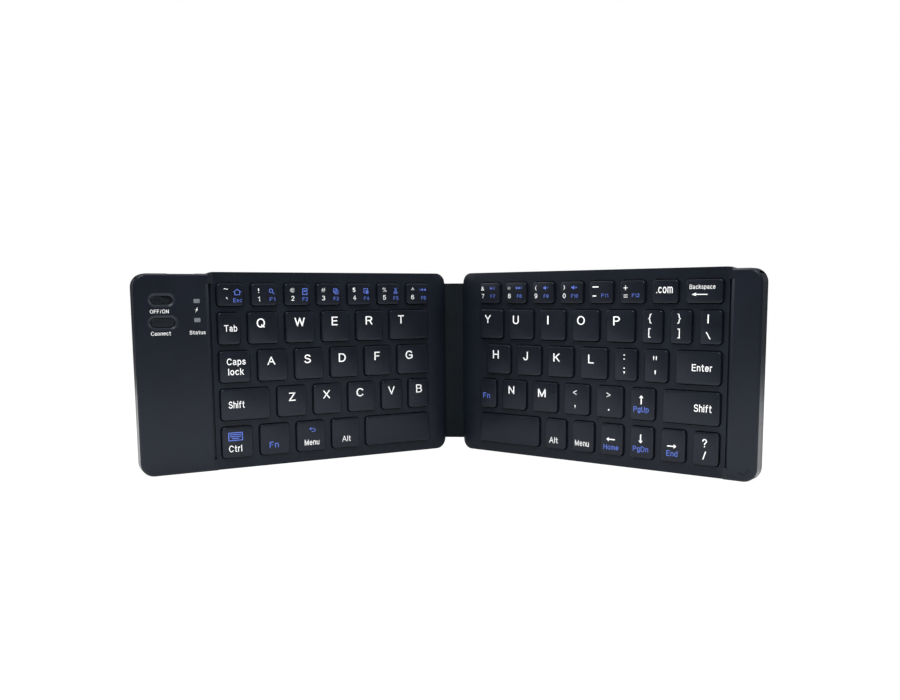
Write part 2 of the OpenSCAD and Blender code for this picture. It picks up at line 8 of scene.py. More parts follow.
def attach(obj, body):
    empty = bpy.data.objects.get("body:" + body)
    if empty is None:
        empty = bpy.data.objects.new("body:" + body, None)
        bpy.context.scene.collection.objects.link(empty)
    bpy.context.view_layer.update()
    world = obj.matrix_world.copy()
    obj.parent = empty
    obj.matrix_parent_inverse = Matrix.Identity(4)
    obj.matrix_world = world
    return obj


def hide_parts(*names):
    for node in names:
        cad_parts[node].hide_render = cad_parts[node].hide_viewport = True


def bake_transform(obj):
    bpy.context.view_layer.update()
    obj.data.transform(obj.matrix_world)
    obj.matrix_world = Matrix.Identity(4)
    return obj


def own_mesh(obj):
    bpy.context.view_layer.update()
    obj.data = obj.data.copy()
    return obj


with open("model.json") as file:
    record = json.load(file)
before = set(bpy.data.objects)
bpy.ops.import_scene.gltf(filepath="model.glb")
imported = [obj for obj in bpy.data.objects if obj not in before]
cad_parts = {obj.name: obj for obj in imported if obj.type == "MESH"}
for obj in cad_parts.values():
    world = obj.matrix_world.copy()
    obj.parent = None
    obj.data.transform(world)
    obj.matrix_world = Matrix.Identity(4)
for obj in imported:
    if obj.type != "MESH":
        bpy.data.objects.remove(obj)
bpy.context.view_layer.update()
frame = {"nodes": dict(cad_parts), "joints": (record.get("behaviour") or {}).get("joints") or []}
mm = 0.001
print("frame loaded:", len(frame["nodes"]), "nodes")

# Sizes here are in millimetres and become metres where a mesh is placed.
half = {
    "length": 154.5, "depth": 90, "capTop": 7.9, "crease": 3.5, "lean": 33,
    "keyStart": {-1: 12.2, 1: 13.75}, "keyEnd": {-1: 118.5, 1: 138.0},
}
sideName = {-1: "left", 1: "right"}
pivot = {j["name"]: Vector(j["pos_m"]) for j in frame["joints"] if j["name"].startswith("fold")}


def faceMatrix(side):
    # x runs to the typist's right along the keys, y to the rear edge and z out of the key side
    a = math.radians(half["lean"])
    along = Vector((math.cos(a), -side * math.sin(a), 0))
    out = Vector((-side * math.sin(a), -math.cos(a), 0))
    m = Matrix((along, (0, 0, 1), out)).transposed().to_4x4()
    m.translation = pivot["fold_" + sideName[side]] - out * half["crease"] * mm
    return m


face = {side: faceMatrix(side) for side in (-1, 1)}


def at(side, x, y, z=0.0, turn=0.0):
    # a place on a half: x from its crease outwards, y from its middle, z from its back face
    return face[side] @ Matrix.Translation(Vector((side * x, y, z)) * mm) @ Matrix.Rotation(turn, 4, "Z")


# Node helpers and materials

def linear(hexColour):
    # an sRGB hex value as the linear colour that a shader takes
    parts = [int(hexColour[i:i + 2], 16) / 255 for i in (1, 3, 5)]
    return tuple(c / 12.92 if c <= 0.04045 else ((c + 0.055) / 1.055) ** 2.4 for c in parts) + (1.0,)


def put(tree, kind, sockets=None, **settings):
    # a node with its settings; each input takes a value, another node's output, or a list of those
    node = tree.nodes.new(kind)
    for name, value in settings.items():
        setattr(node, name, value)
    for name, value in (sockets or {}).items():
        for one in value if isinstance(value, list) else [value]:
            if isinstance(one, bpy.types.Node):
                one = one.outputs[0]
            if isinstance(one, bpy.types.NodeSocket):
                tree.links.new(one, node.inputs[name])
            else:
                node.inputs[name].default_value = one
    return node


def startMaterial(name):
    # an empty material and the place on the piece, in metres, that its patterns read
    material = bpy.data.materials.new(name)
    material.use_nodes = True
    tree = material.node_tree
    tree.nodes.clear()
    where = put(tree, "ShaderNodeTexCoord").outputs["Object"]
    return material, tree, where


def mouldedPlastic(name, s):
    # moulded plastic: a fine pebbled skin, slightly uneven gloss, faint cloudiness in the colour
    material, tree, where = startMaterial(name)
    grain = put(tree, "ShaderNodeTexNoise", {"Vector": where, "Scale": 1 / (s["grain"] * mm), "Detail": 2.0,
                "Roughness": 0.6})
    cloud = put(tree, "ShaderNodeTexNoise", {"Vector": where, "Scale": 1 / (s["cloud"] * mm), "Detail": 3.0})
    colour = put(tree, "ShaderNodeValToRGB", {"Fac": cloud})
    for end, position, key in zip(colour.color_ramp.elements, (0.3, 0.7), ("dark", "light")):
        end.position = position
        end.color = linear(s[key])
    mixed = put(tree, "ShaderNodeMath", {0: grain, 1: cloud}, operation="ADD")
    rough = put(tree, "ShaderNodeMapRange", {"Value": mixed, "From Min": 0.6, "From Max": 1.4,
                "To Min": s["rough"][0], "To Max": s["rough"][1]})
    bump = put(tree, "ShaderNodeBump", {"Height": grain, "Strength": s["bump"], "Distance": s["relief"] * mm})
    shader = put(tree, "ShaderNodeBsdfPrincipled", {"Base Color": colour, "Roughness": rough, "Normal": bump,
                 "IOR": s["ior"], "Specular IOR Level": s["gloss"], "Specular Tint": s["tint"]})
    put(tree, "ShaderNodeOutputMaterial", {"Surface": shader})
    return material


def metal(name, s):
    # rolled or plated metal: fine streaks along one way, no colour of its own beyond the tint
    material, tree, where = startMaterial(name)
    stretched = put(tree, "ShaderNodeMapping", {"Vector": where, "Scale": (s["streak"], 1.0, 1.0)})
    streaks = put(tree, "ShaderNodeTexNoise", {"Vector": stretched, "Scale": 1 / (s["grain"] * mm), "Detail": 3.0})
    colour = put(tree, "ShaderNodeValToRGB", {"Fac": streaks})
    for end, key in zip(colour.color_ramp.elements, ("dark", "light")):
        end.color = linear(s[key])
    rough = put(tree, "ShaderNodeMapRange", {"Value": streaks, "To Min": s["rough"][0], "To Max": s["rough"][1]})
    bump = put(tree, "ShaderNodeBump", {"Height": streaks, "Strength": s["bump"], "Distance": s["relief"] * mm})
    shader = put(tree, "ShaderNodeBsdfPrincipled", {"Base Color": colour, "Roughness": rough, "Normal": bump,
                 "Metallic": 1.0})
    put(tree, "ShaderNodeOutputMaterial", {"Surface": shader})
    return material


coldGloss = (0.82, 0.89, 1.0, 1.0)
# What a finish has where it says nothing else. Grain, cloud and relief are in millimetres. Moulded pebbles are about
# 0.1 mm across and the grain of ink or film is finer still, so they are drawn as coarse as they need to be to show.
ordinary = {"bump": 0.1, "relief": 0.01, "gloss": 0.5, "tint": (1.0, 1.0, 1.0, 1.0)}
plastics = {
    # spark-eroded black ABS: a soft satin with a cold tint
    "shellAbs": {"dark": "#10141a", "light": "#13171f", "grain": 0.45, "cloud": 18, "rough": (0.30, 0.38),
                 "bump": 0.25, "relief": 0.02, "ior": 1.54, "gloss": 0.2, "tint": coldGloss},
    # the end caps' ABS, moulded a little smoother
    "capAbs": {"dark": "#12151c", "light": "#151820", "grain": 0.35, "cloud": 22, "rough": (0.28, 0.35),
               "bump": 0.2, "relief": 0.015, "ior": 1.54, "gloss": 0.24, "tint": coldGloss},
    # the slopes round the slots, coloured lighter than the cap round them as a painted highlight
    "rimAbs": {"dark": "#181b22", "light": "#1d2027", "grain": 0.3, "cloud": 8, "rough": (0.36, 0.42),
               "ior": 1.54, "gloss": 0.28, "tint": coldGloss},
    # the slider and the button, duller than the cap round them
    "controlAbs": {"dark": "#0c0f12", "light": "#101317", "grain": 0.3, "cloud": 4, "rough": (0.45, 0.55),
                   "bump": 0.2, "relief": 0.015, "ior": 1.54, "gloss": 0.2, "tint": coldGloss},
    # key tops: finer grain and a touch more gloss than the deck
    "keyAbs": {"dark": "#11141a", "light": "#14171f", "grain": 0.3, "cloud": 9, "rough": (0.26, 0.33),
               "bump": 0.2, "relief": 0.015, "ior": 1.54, "gloss": 0.24, "tint": coldGloss},
    # soft-touch polyurethane skin of the spine: nearly no gloss, its dark colour partly the skin's own and partly
    # painted shade of the crease between the halves
    "spineSkin": {"dark": "#0a0f13", "light": "#0d1317", "grain": 0.6, "cloud": 14, "rough": (0.6, 0.72),
                  "bump": 0.3, "relief": 0.03, "ior": 1.5, "gloss": 0.08},
    # moulded silicone feet
    "footRubber": {"dark": "#15171a", "light": "#1b1d20", "grain": 0.5, "cloud": 6, "rough": (0.6, 0.75),
                   "bump": 0.3, "relief": 0.03, "ior": 1.45},
    # translucent grey lens over each lamp
    "windowAcrylic": {"dark": "#5d6168", "light": "#6b7078", "grain": 0.4, "cloud": 3, "rough": (0.3, 0.4),
                      "ior": 1.49},
    # screen-printed inks
    "whiteInk": {"dark": "#f4f5f6", "light": "#ffffff", "grain": 0.25, "cloud": 4, "rough": (0.5, 0.6), "ior": 1.5},
    "blueInk": {"dark": "#4c65c2", "light": "#5c77d2", "grain": 0.25, "cloud": 4, "rough": (0.5, 0.6), "ior": 1.5},
    # acetal of the scissor links, coloured black as painted shade in the gaps round the keys
    "linkAcetal": {"dark": "#0e0f11", "light": "#141518", "grain": 0.4, "cloud": 5, "rough": (0.35, 0.45), "ior": 1.48},
    # silicone of the domes
    "domeSilicone": {"dark": "#3c3f43", "light": "#484b50", "grain": 0.4, "cloud": 3, "rough": (0.45, 0.55),
                     "ior": 1.41},
    # printed polyester film under the keys, coloured dark as painted shade in the gaps round the keys
    "switchFilm": {"dark": "#23262a", "light": "#2b2f33", "grain": 0.8, "cloud": 8, "rough": (0.3, 0.45), "ior": 1.6},
    "flatCable": {"dark": "#8a5a1e", "light": "#a46c26", "grain": 0.6, "cloud": 6, "rough": (0.3, 0.4), "ior": 1.6},
    "boardLaminate": {"dark": "#1b4a33", "light": "#22583d", "grain": 0.5, "cloud": 6, "rough": (0.35, 0.5),
                      "bump": 0.2, "relief": 0.02, "ior": 1.55},
    "cellPouch": {"dark": "#8d9399", "light": "#a5abb0", "grain": 1.2, "cloud": 8, "rough": (0.3, 0.45),
                  "bump": 0.3, "relief": 0.05, "ior": 1.5},
    "socketTongue": {"dark": "#121315", "light": "#18191c", "grain": 0.4, "cloud": 3, "rough": (0.4, 0.5), "ior": 1.54},
}
metals = {
    # phosphate-black steel screws
    "screwSteel": {"dark": "#2c2e31", "light": "#3a3d40", "grain": 0.5, "streak": 1.0, "rough": (0.35, 0.5),
                   "bump": 0.15, "relief": 0.02},
    # tin-plated steel of the key plate and the socket
    "plateSteel": {"dark": "#8c9094", "light": "#a7abaf", "grain": 0.6, "streak": 0.05, "rough": (0.28, 0.42),
                   "bump": 0.15, "relief": 0.02},
}
materials = {name: mouldedPlastic(name, {**ordinary, **s}) for name, s in plastics.items()}
materials.update({name: metal(name, s) for name, s in metals.items()})
print("materials made:", len(materials))

for name, node in frame["nodes"].items():
    kind = name.replace("left_", "").replace("right_", "")
    finish = {"key_plate": "plateSteel", "switch_sheet": "switchFilm", "main_board": "boardLaminate",
              "battery": "cellPouch", "charging_socket": "plateSteel", "spine_flex": "flatCable"}.get(kind, "shellAbs")
    node.data.materials.clear()
    node.data.materials.append(materials[finish])


# Mesh helpers
sharpFrom = {"shell": 30, "rubber": 35, "cap": 40}  # degrees between faces that stay a sharp edge
mergeWithin = 0.002


def link(name, mesh):
    piece = bpy.data.objects.new(name, mesh)
    bpy.context.scene.collection.objects.link(piece)
    return piece


def takeMesh(piece):
    # the evaluated mesh of an object with its modifiers, as a mesh of its own
    bpy.context.view_layer.update()
    evaluated = piece.evaluated_get(bpy.context.evaluated_depsgraph_get())
    return bpy.data.meshes.new_from_object(evaluated)


def meshFrom(built, name):
    # the mesh of a bmesh that isn't needed any more
    mesh = bpy.data.meshes.new(name)
    built.to_mesh(mesh)
    built.free()
    return mesh


def joined(name, parts, finishes):
    # one mesh from (mesh, matrix, finish) parts
    built = bmesh.new()
    for mesh, matrix, finish in parts:
        firstFace, firstVert = len(built.faces), len(built.verts)
        built.from_mesh(mesh)
        built.verts.ensure_lookup_table()
        built.faces.ensure_lookup_table()
        bmesh.ops.transform(built, matrix=matrix, verts=built.verts[firstVert:])
        for f in built.faces[firstFace:]:
            f.material_index = finishes.index(finish)
    mesh = meshFrom(built, name)
    for finish in finishes:
        mesh.materials.append(materials[finish])
    return mesh


def outwards(mesh):
    # doubles merged, open ends closed, faces turned outwards
    fixed = bmesh.new()
    fixed.from_mesh(mesh)
    bmesh.ops.remove_doubles(fixed, verts=fixed.verts, dist=mergeWithin * mm)
    bmesh.ops.holes_fill(fixed, edges=[e for e in fixed.edges if e.is_boundary], sides=0)
    bmesh.ops.recalc_face_normals(fixed, faces=fixed.faces)
    fixed.to_mesh(mesh)
    fixed.free()
    return mesh


def bridge(built, one, two):
    # faces between two closed rows of points
    for i in range(len(one)):
        n = (i + 1) % len(one)
        built.faces.new((one[i], one[n], two[n], two[i]))


def smoothBy(mesh, degrees):
    # smooth shading with the sharper edges kept
    for p in mesh.polygons:
        p.use_smooth = True
    mesh.set_sharp_from_angle(angle=math.radians(degrees))
    return mesh


def finishPiece(name, mesh, body, nodes=()):
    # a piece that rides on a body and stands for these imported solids
    piece = link(name, mesh)
    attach(piece, body)
    if nodes:
        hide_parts(*nodes)
    return piece


# The moulded shells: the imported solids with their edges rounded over
shells = {"round": 0.3, "steps": 3, "sharper": 28, "flatWithin": 0.6, "mergeWithin": 0.001, "flatWeight": 100}


def softCopy(nodeName):
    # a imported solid's copy with its flat faces made whole and its edges rounded
    source = bmesh.new()
    source.from_mesh(frame["nodes"][nodeName].data)
    bmesh.ops.remove_doubles(source, verts=source.verts, dist=shells["mergeWithin"] * mm)
    bmesh.ops.dissolve_limit(source, angle_limit=math.radians(shells["flatWithin"]), verts=source.verts,
                             edges=source.edges, use_dissolve_boundaries=False)
    mesh = meshFrom(source, nodeName + "Soft")
    piece = link("shaping", mesh)
    bevel = piece.modifiers.new("edges", "BEVEL")
    bevel.width = shells["round"] * mm
    bevel.segments = shells["steps"]
    bevel.limit_method = "ANGLE"
    bevel.angle_limit = math.radians(shells["sharper"])
    bevel.use_clamp_overlap = True
    flatter = piece.modifiers.new("flats", "WEIGHTED_NORMAL")
    flatter.mode = "FACE_AREA"
    flatter.weight = shells["flatWeight"]
    flatter.keep_sharp = True
    smoothBy(mesh, sharpFrom["shell"])
    made = takeMesh(piece)
    bpy.data.objects.remove(piece)
    return made


def leftPlaces(mesh):
    # each face with its middle on the left half, in millimetres, and how level it lies
    inverse = face[-1].inverted()
    for p in mesh.polygons:
        x, y, z = (v / mm for v in inverse @ p.center)
        yield p, -x, y, z, abs((inverse.to_3x3() @ p.normal).z)


# The sloped rims round the slots in the left end cap: their middle, their half length and half width outside
rims = {"slider": (142.65, 32.6, 5.9, 3.25), "button": (142.4, 22.7, 6.65, 3.5)}
rimFaces = {"low": 7.2, "high": 7.88, "steepest": 0.2, "flattest": 0.995}


def paintRimHighlight(mesh):
    # the rim slopes' faces take the second material, whose lighter colour is a painted highlight
    r = rimFaces
    for p, x, y, z, level in leftPlaces(mesh):
        for atX, atY, reachX, reachY in rims.values():
            if abs(x - atX) < reachX and abs(y - atY) < reachY and r["low"] < z < r["high"] \
                    and r["steepest"] < level < r["flattest"]:
                p.material_index = 1


for side, name in sideName.items():
    for kind, pieceName, slot, finish in (("base_shell", "BackShell", "back_shell", "shellAbs"),
                                          ("top_frame", "Deck", "deck", "shellAbs"),
                                          ("end_cap", "EndCap", "end_cap", "capAbs")):
        mesh = softCopy(name + "_" + kind)
        mesh.materials.clear()
        mesh.materials.append(materials[finish])
        # the left cap's rim slopes get a lighter colour as a painted highlight
        if pieceName == "EndCap" and side < 0:
            mesh.materials.append(materials["rimAbs"])
            paintRimHighlight(mesh)
        finishPiece(name + pieceName, mesh, name + "_half", [name + "_" + kind])
        print(name + pieceName, len(mesh.polygons), "faces")


# The socket: a plated can with a dark tongue in its mouth
tongue = {"x": 133.5, "y": (36.4, 41.2), "z": (4.65, 5.35), "halfWidth": 3.2, "slack": 0.01}
mesh = joined("socketSoft", [(frame["nodes"]["charging_socket"].data, Matrix(), "plateSteel")],
              ["plateSteel", "socketTongue"])
mesh = outwards(mesh)
for p, x, y, z, level in leftPlaces(mesh):
    inside = [low - tongue["slack"] < v < high + tongue["slack"]
              for v, (low, high) in ((y, tongue["y"]), (z, tongue["z"]))]
    if abs(x - tongue["x"]) < tongue["halfWidth"] + tongue["slack"] and all(inside):
        p.material_index = 1
finishPiece("chargingSocket", smoothBy(mesh, sharpFrom["shell"]), "left_half", ["charging_socket"])

# Keys
keyLayout = {
    "rail": 5.2, "rowDepth": 14.3, "rowGap": 3.1, "gap": 3.7, "homeIndent": 4.0,
    "top": 7.75, "bottom": 5.45, "ceiling": 6.75, "wall": 0.9, "corner": 1.6, "edge": 0.42, "flare": 0.12,
    "plunger": 1.0, "plungerLength": 1.2,
}
# Each row from the crease outwards, as [key, width]. A width of 0 takes what is left of the row.
keyRows = {
    -1: [
        [(k, 0) for k in ("6", "5", "4", "3", "2", "1", "grave")],
        [("t", 0), ("r", 14.1), ("e", 14.1), ("w", 14.1), ("q", 14.1), ("tab", 10)],
        [("g", 0), ("f", 14.1), ("d", 14.1), ("s", 14.1), ("a", 14.1), ("caps", 14.1)],
        [("b", 11.3), ("v", 11.3), ("c", 14.1), ("x", 14.1), ("z", 14.1), ("shiftLeft", 0)],
        [("space", 0), ("altLeft", 14.1), ("menuLeft", 14.1), ("fnLeft", 14.1), ("ctrl", 14.1)],
    ],
    1: [
        [(k, 11.75) for k in ("7", "8", "9", "0", "minus", "equals", "dotcom")] + [("backspace", 0)],
        [("y", 0), ("u", 14), ("i", 14), ("o", 14), ("p", 14), ("openBracket", 9.6), ("closeBracket", 9.6),
         ("backslash", 9.6)],
        [("h", 14), ("j", 14), ("k", 14), ("l", 14), ("semicolon", 11), ("quote", 11), ("enter", 0)],
        [("fnRight", 9.5), ("n", 14), ("m", 14), ("comma", 13.5), ("dot", 13.5), ("up", 11.8), ("shiftRight", 0)],
        [("space", 0), ("altRight", 11.2), ("menuRight", 11.2), ("left", 11.2), ("down", 11.2), ("right", 11.2),
         ("slash", 11.2)],
    ],
}


def keyBody(side, row, key):
    # letters and spaces are bodies of their own, and the other keys of a half move in two groups
    if key == "space":
        return sideName[side] + "_space_key"
    if len(key) == 1 and key.isalpha():
        return "key_" + key
    return sideName[side] + ("_number_keys" if row == 0 else "_command_keys")


def keyPlaces(side):
    # every key of a half as a dictionary: its body, its middle, its width and its depth
    k = keyLayout
    field = half["depth"] / 2 - k["rail"]
    firstDepth = 2 * field - 4 * (k["rowDepth"] + k["rowGap"])
    places = []
    for row, keys in enumerate(keyRows[side]):
        x = half["keyStart"][side] + (k["homeIndent"] if side > 0 and row == 2 else 0)
        depth = firstDepth if row == 0 else k["rowDepth"]
        front = field - firstDepth if row == 0 else -field + (4 - row) * (k["rowDepth"] + k["rowGap"])
        spare = half["keyEnd"][side] - x - sum(w for _, w in keys) - k["gap"] * (len(keys) - 1)
        fill = spare / max(1, sum(1 for _, w in keys if w == 0))
        for key, width in keys:
            width = width or fill
            places.append({"key": key, "body": keyBody(side, row, key), "x": x + width / 2,
                           "y": front + depth / 2, "width": width, "depth": depth})
            x += width + k["gap"]
    return places


keys = {side: keyPlaces(side) for side in (-1, 1)}


def keyGroups():
    # each key body with its side and the places of its keys
    for side in (-1, 1):
        for body in sorted({k["body"] for k in keys[side]}):
            yield side, body, [k for k in keys[side] if k["body"] == body]


curveSteps = {"rounding": 6, "corner": 7, "post": 24, "head": 32, "shank": 20, "foot": 40}


def newTree(name, *sizes):
    tree = bpy.data.node_groups.new(name, "GeometryNodeTree")
    tree.interface.new_socket("Geometry", in_out="INPUT", socket_type="NodeSocketGeometry")
    for label in sizes:
        tree.interface.new_socket(label, in_out="INPUT", socket_type="NodeSocketFloat")
    tree.interface.new_socket("Material", in_out="INPUT", socket_type="NodeSocketMaterial")
    tree.interface.new_socket("Geometry", in_out="OUTPUT", socket_type="NodeSocketGeometry")
    return tree, put(tree, "NodeGroupInput").outputs


def endTree(tree, shape, given):
    # real faces in the given material
    whole = put(tree, "GeometryNodeRealizeInstances", {"Geometry": shape})
    painted = put(tree, "GeometryNodeSetMaterial", {"Geometry": whole, "Material": given["Material"]})
    put(tree, "NodeGroupOutput", {"Geometry": painted})
    return tree


def endAtPoints(tree, shape, given):
    # the shape set at each point of the mesh that the tree is given
    points = put(tree, "GeometryNodeMeshToPoints", {"Mesh": given["Geometry"]})
    return endTree(tree, put(tree, "GeometryNodeInstanceOnPoints", {"Points": points, "Instance": shape}), given)


def runTree(tree, sizes, finish, base=None, **angles):
    # the mesh that a tree makes from these sizes in millimetres
    values = {name: size * mm for name, size in sizes.items()}
    values.update(angles, Material=materials[finish])
    piece = link("shaping", base or bpy.data.meshes.new("shaping"))
    modifier = piece.modifiers.new("shape", "NODES")
    modifier.node_group = tree
    for item in tree.interface.items_tree:
        if item.item_type == "SOCKET" and item.in_out == "INPUT" and item.name in values:
            modifier[item.identifier] = values[item.name]
    made = takeMesh(piece)
    bpy.data.objects.remove(piece)
    return made


def chain(tree, *corners):
    # lines from each corner (x, y) to the next
    points = [put(tree, "ShaderNodeCombineXYZ", {"X": x, "Y": y}) for x, y in corners]
    return [put(tree, "GeometryNodeCurvePrimitiveLine", {"Start": a, "End": b}) for a, b in zip(points, points[1:])]


def rounding(tree, radius, start, height):
    # a quarter circle that touches the outline, round a point at this height
    quarter = put(tree, "GeometryNodeCurveArc", {"Resolution": curveSteps["rounding"], "Radius": radius,
                  "Start Angle": start, "Sweep Angle": math.pi / 2})
    inside = put(tree, "ShaderNodeMath", {0: 0.0, 1: radius}, operation="SUBTRACT")
    middle = put(tree, "ShaderNodeCombineXYZ", {"X": inside, "Y": height})
    return put(tree, "GeometryNodeTransform", {"Geometry": quarter, "Translation": middle})


def sweep(tree, outline, lines):
    # walls round an outline from lines with x outwards and y up; the sweep itself turns y down
    profile = put(tree, "GeometryNodeJoinGeometry", {"Geometry": lines})
    upright = put(tree, "GeometryNodeTransform", {"Geometry": profile, "Scale": (1.0, -1.0, 1.0)})
    return put(tree, "GeometryNodeCurveToMesh", {"Curve": outline, "Profile Curve": upright})


def keyCapTree():
    # a key cap's walls, left open at the top and at the ceiling
    tree, given = newTree("keyCap", "Width", "Depth", "Corner", "Edge", "Flare", "Top", "Bottom", "Ceiling", "Wall")
    shoulder = put(tree, "ShaderNodeMath", {0: given["Top"], 1: given["Edge"]}, operation="SUBTRACT")
    inner = put(tree, "ShaderNodeMath", {0: 0.0, 1: given["Wall"]}, operation="SUBTRACT")
    lines = chain(tree, (0.0, shoulder), (given["Flare"], given["Bottom"]), (inner, given["Bottom"]),
                  (inner, given["Ceiling"]))
    plain = put(tree, "GeometryNodeCurvePrimitiveQuadrilateral", {"Width": given["Width"], "Height": given["Depth"]})
    outline = put(tree, "GeometryNodeFilletCurve", {"Curve": plain, "Count": curveSteps["corner"],
                  "Radius": given["Corner"]}, mode="POLY")
    return endTree(tree, sweep(tree, outline, [rounding(tree, given["Edge"], 0.0, shoulder)] + lines), given)


capTree = keyCapTree()
capMeshes = {}


def capShape(c, finish):
    # a hollow cap from its sizes, closed at the top and at the ceiling
    names = ("width", "depth", "corner", "edge", "flare", "top", "bottom", "ceiling", "wall")
    return outwards(runTree(capTree, {n.capitalize(): c[n] for n in names}, finish))


def keyCap(width, depth):
    # a key's cap, made once for each size
    size = (round(width, 2), round(depth, 2))
    if size not in capMeshes:
        cap = capShape({**keyLayout, "width": width, "depth": depth}, "keyAbs")
        capMeshes[size] = smoothBy(cap, sharpFrom["cap"])
    return capMeshes[size]


def postTree():
    # a round post or cone standing on z = 0
    tree, given = newTree("post", "Foot radius", "Top radius", "Height")
    cone = put(tree, "GeometryNodeMeshCone", {"Vertices": curveSteps["post"], "Radius Bottom": given["Foot radius"],
               "Radius Top": given["Top radius"], "Depth": given["Height"]})
    return endTree(tree, cone, given)


roundPost = postTree()


def post(foot, top, height, finish):
    # a solid post by its two radii
    return outwards(runTree(roundPost, {"Foot radius": foot, "Top radius": top, "Height": height}, finish))


k = keyLayout
plunger = post(k["plunger"], k["plunger"], k["plungerLength"], "keyAbs")
for side, body, group in keyGroups():
    parts = []
    for k in group:
        parts.append((keyCap(k["width"], k["depth"]), at(side, k["x"], k["y"]), "keyAbs"))
        parts.append((plunger, at(side, k["x"], k["y"], keyLayout["ceiling"] - keyLayout["plungerLength"]), "keyAbs"))
    mesh = smoothBy(joined(body + "_cap", parts, ["keyAbs"]), sharpFrom["cap"])
    finishPiece(body + "_cap", mesh, body, [body])
print("keys made:", sum(len(k) for k in keys.values()))

# Printed legends
printing = {"ink": 0.05, "thin": -0.006, "thinner": -0.012, "small": 2.4, "stroke": 0.1, "steps": 3,
            "pen": 0.14, "finePen": 0.12, "pitch": 0.31, "arcStep": 20, "sharpestMitre": 0.35}
white, blue = "whiteInk", "blueInk"

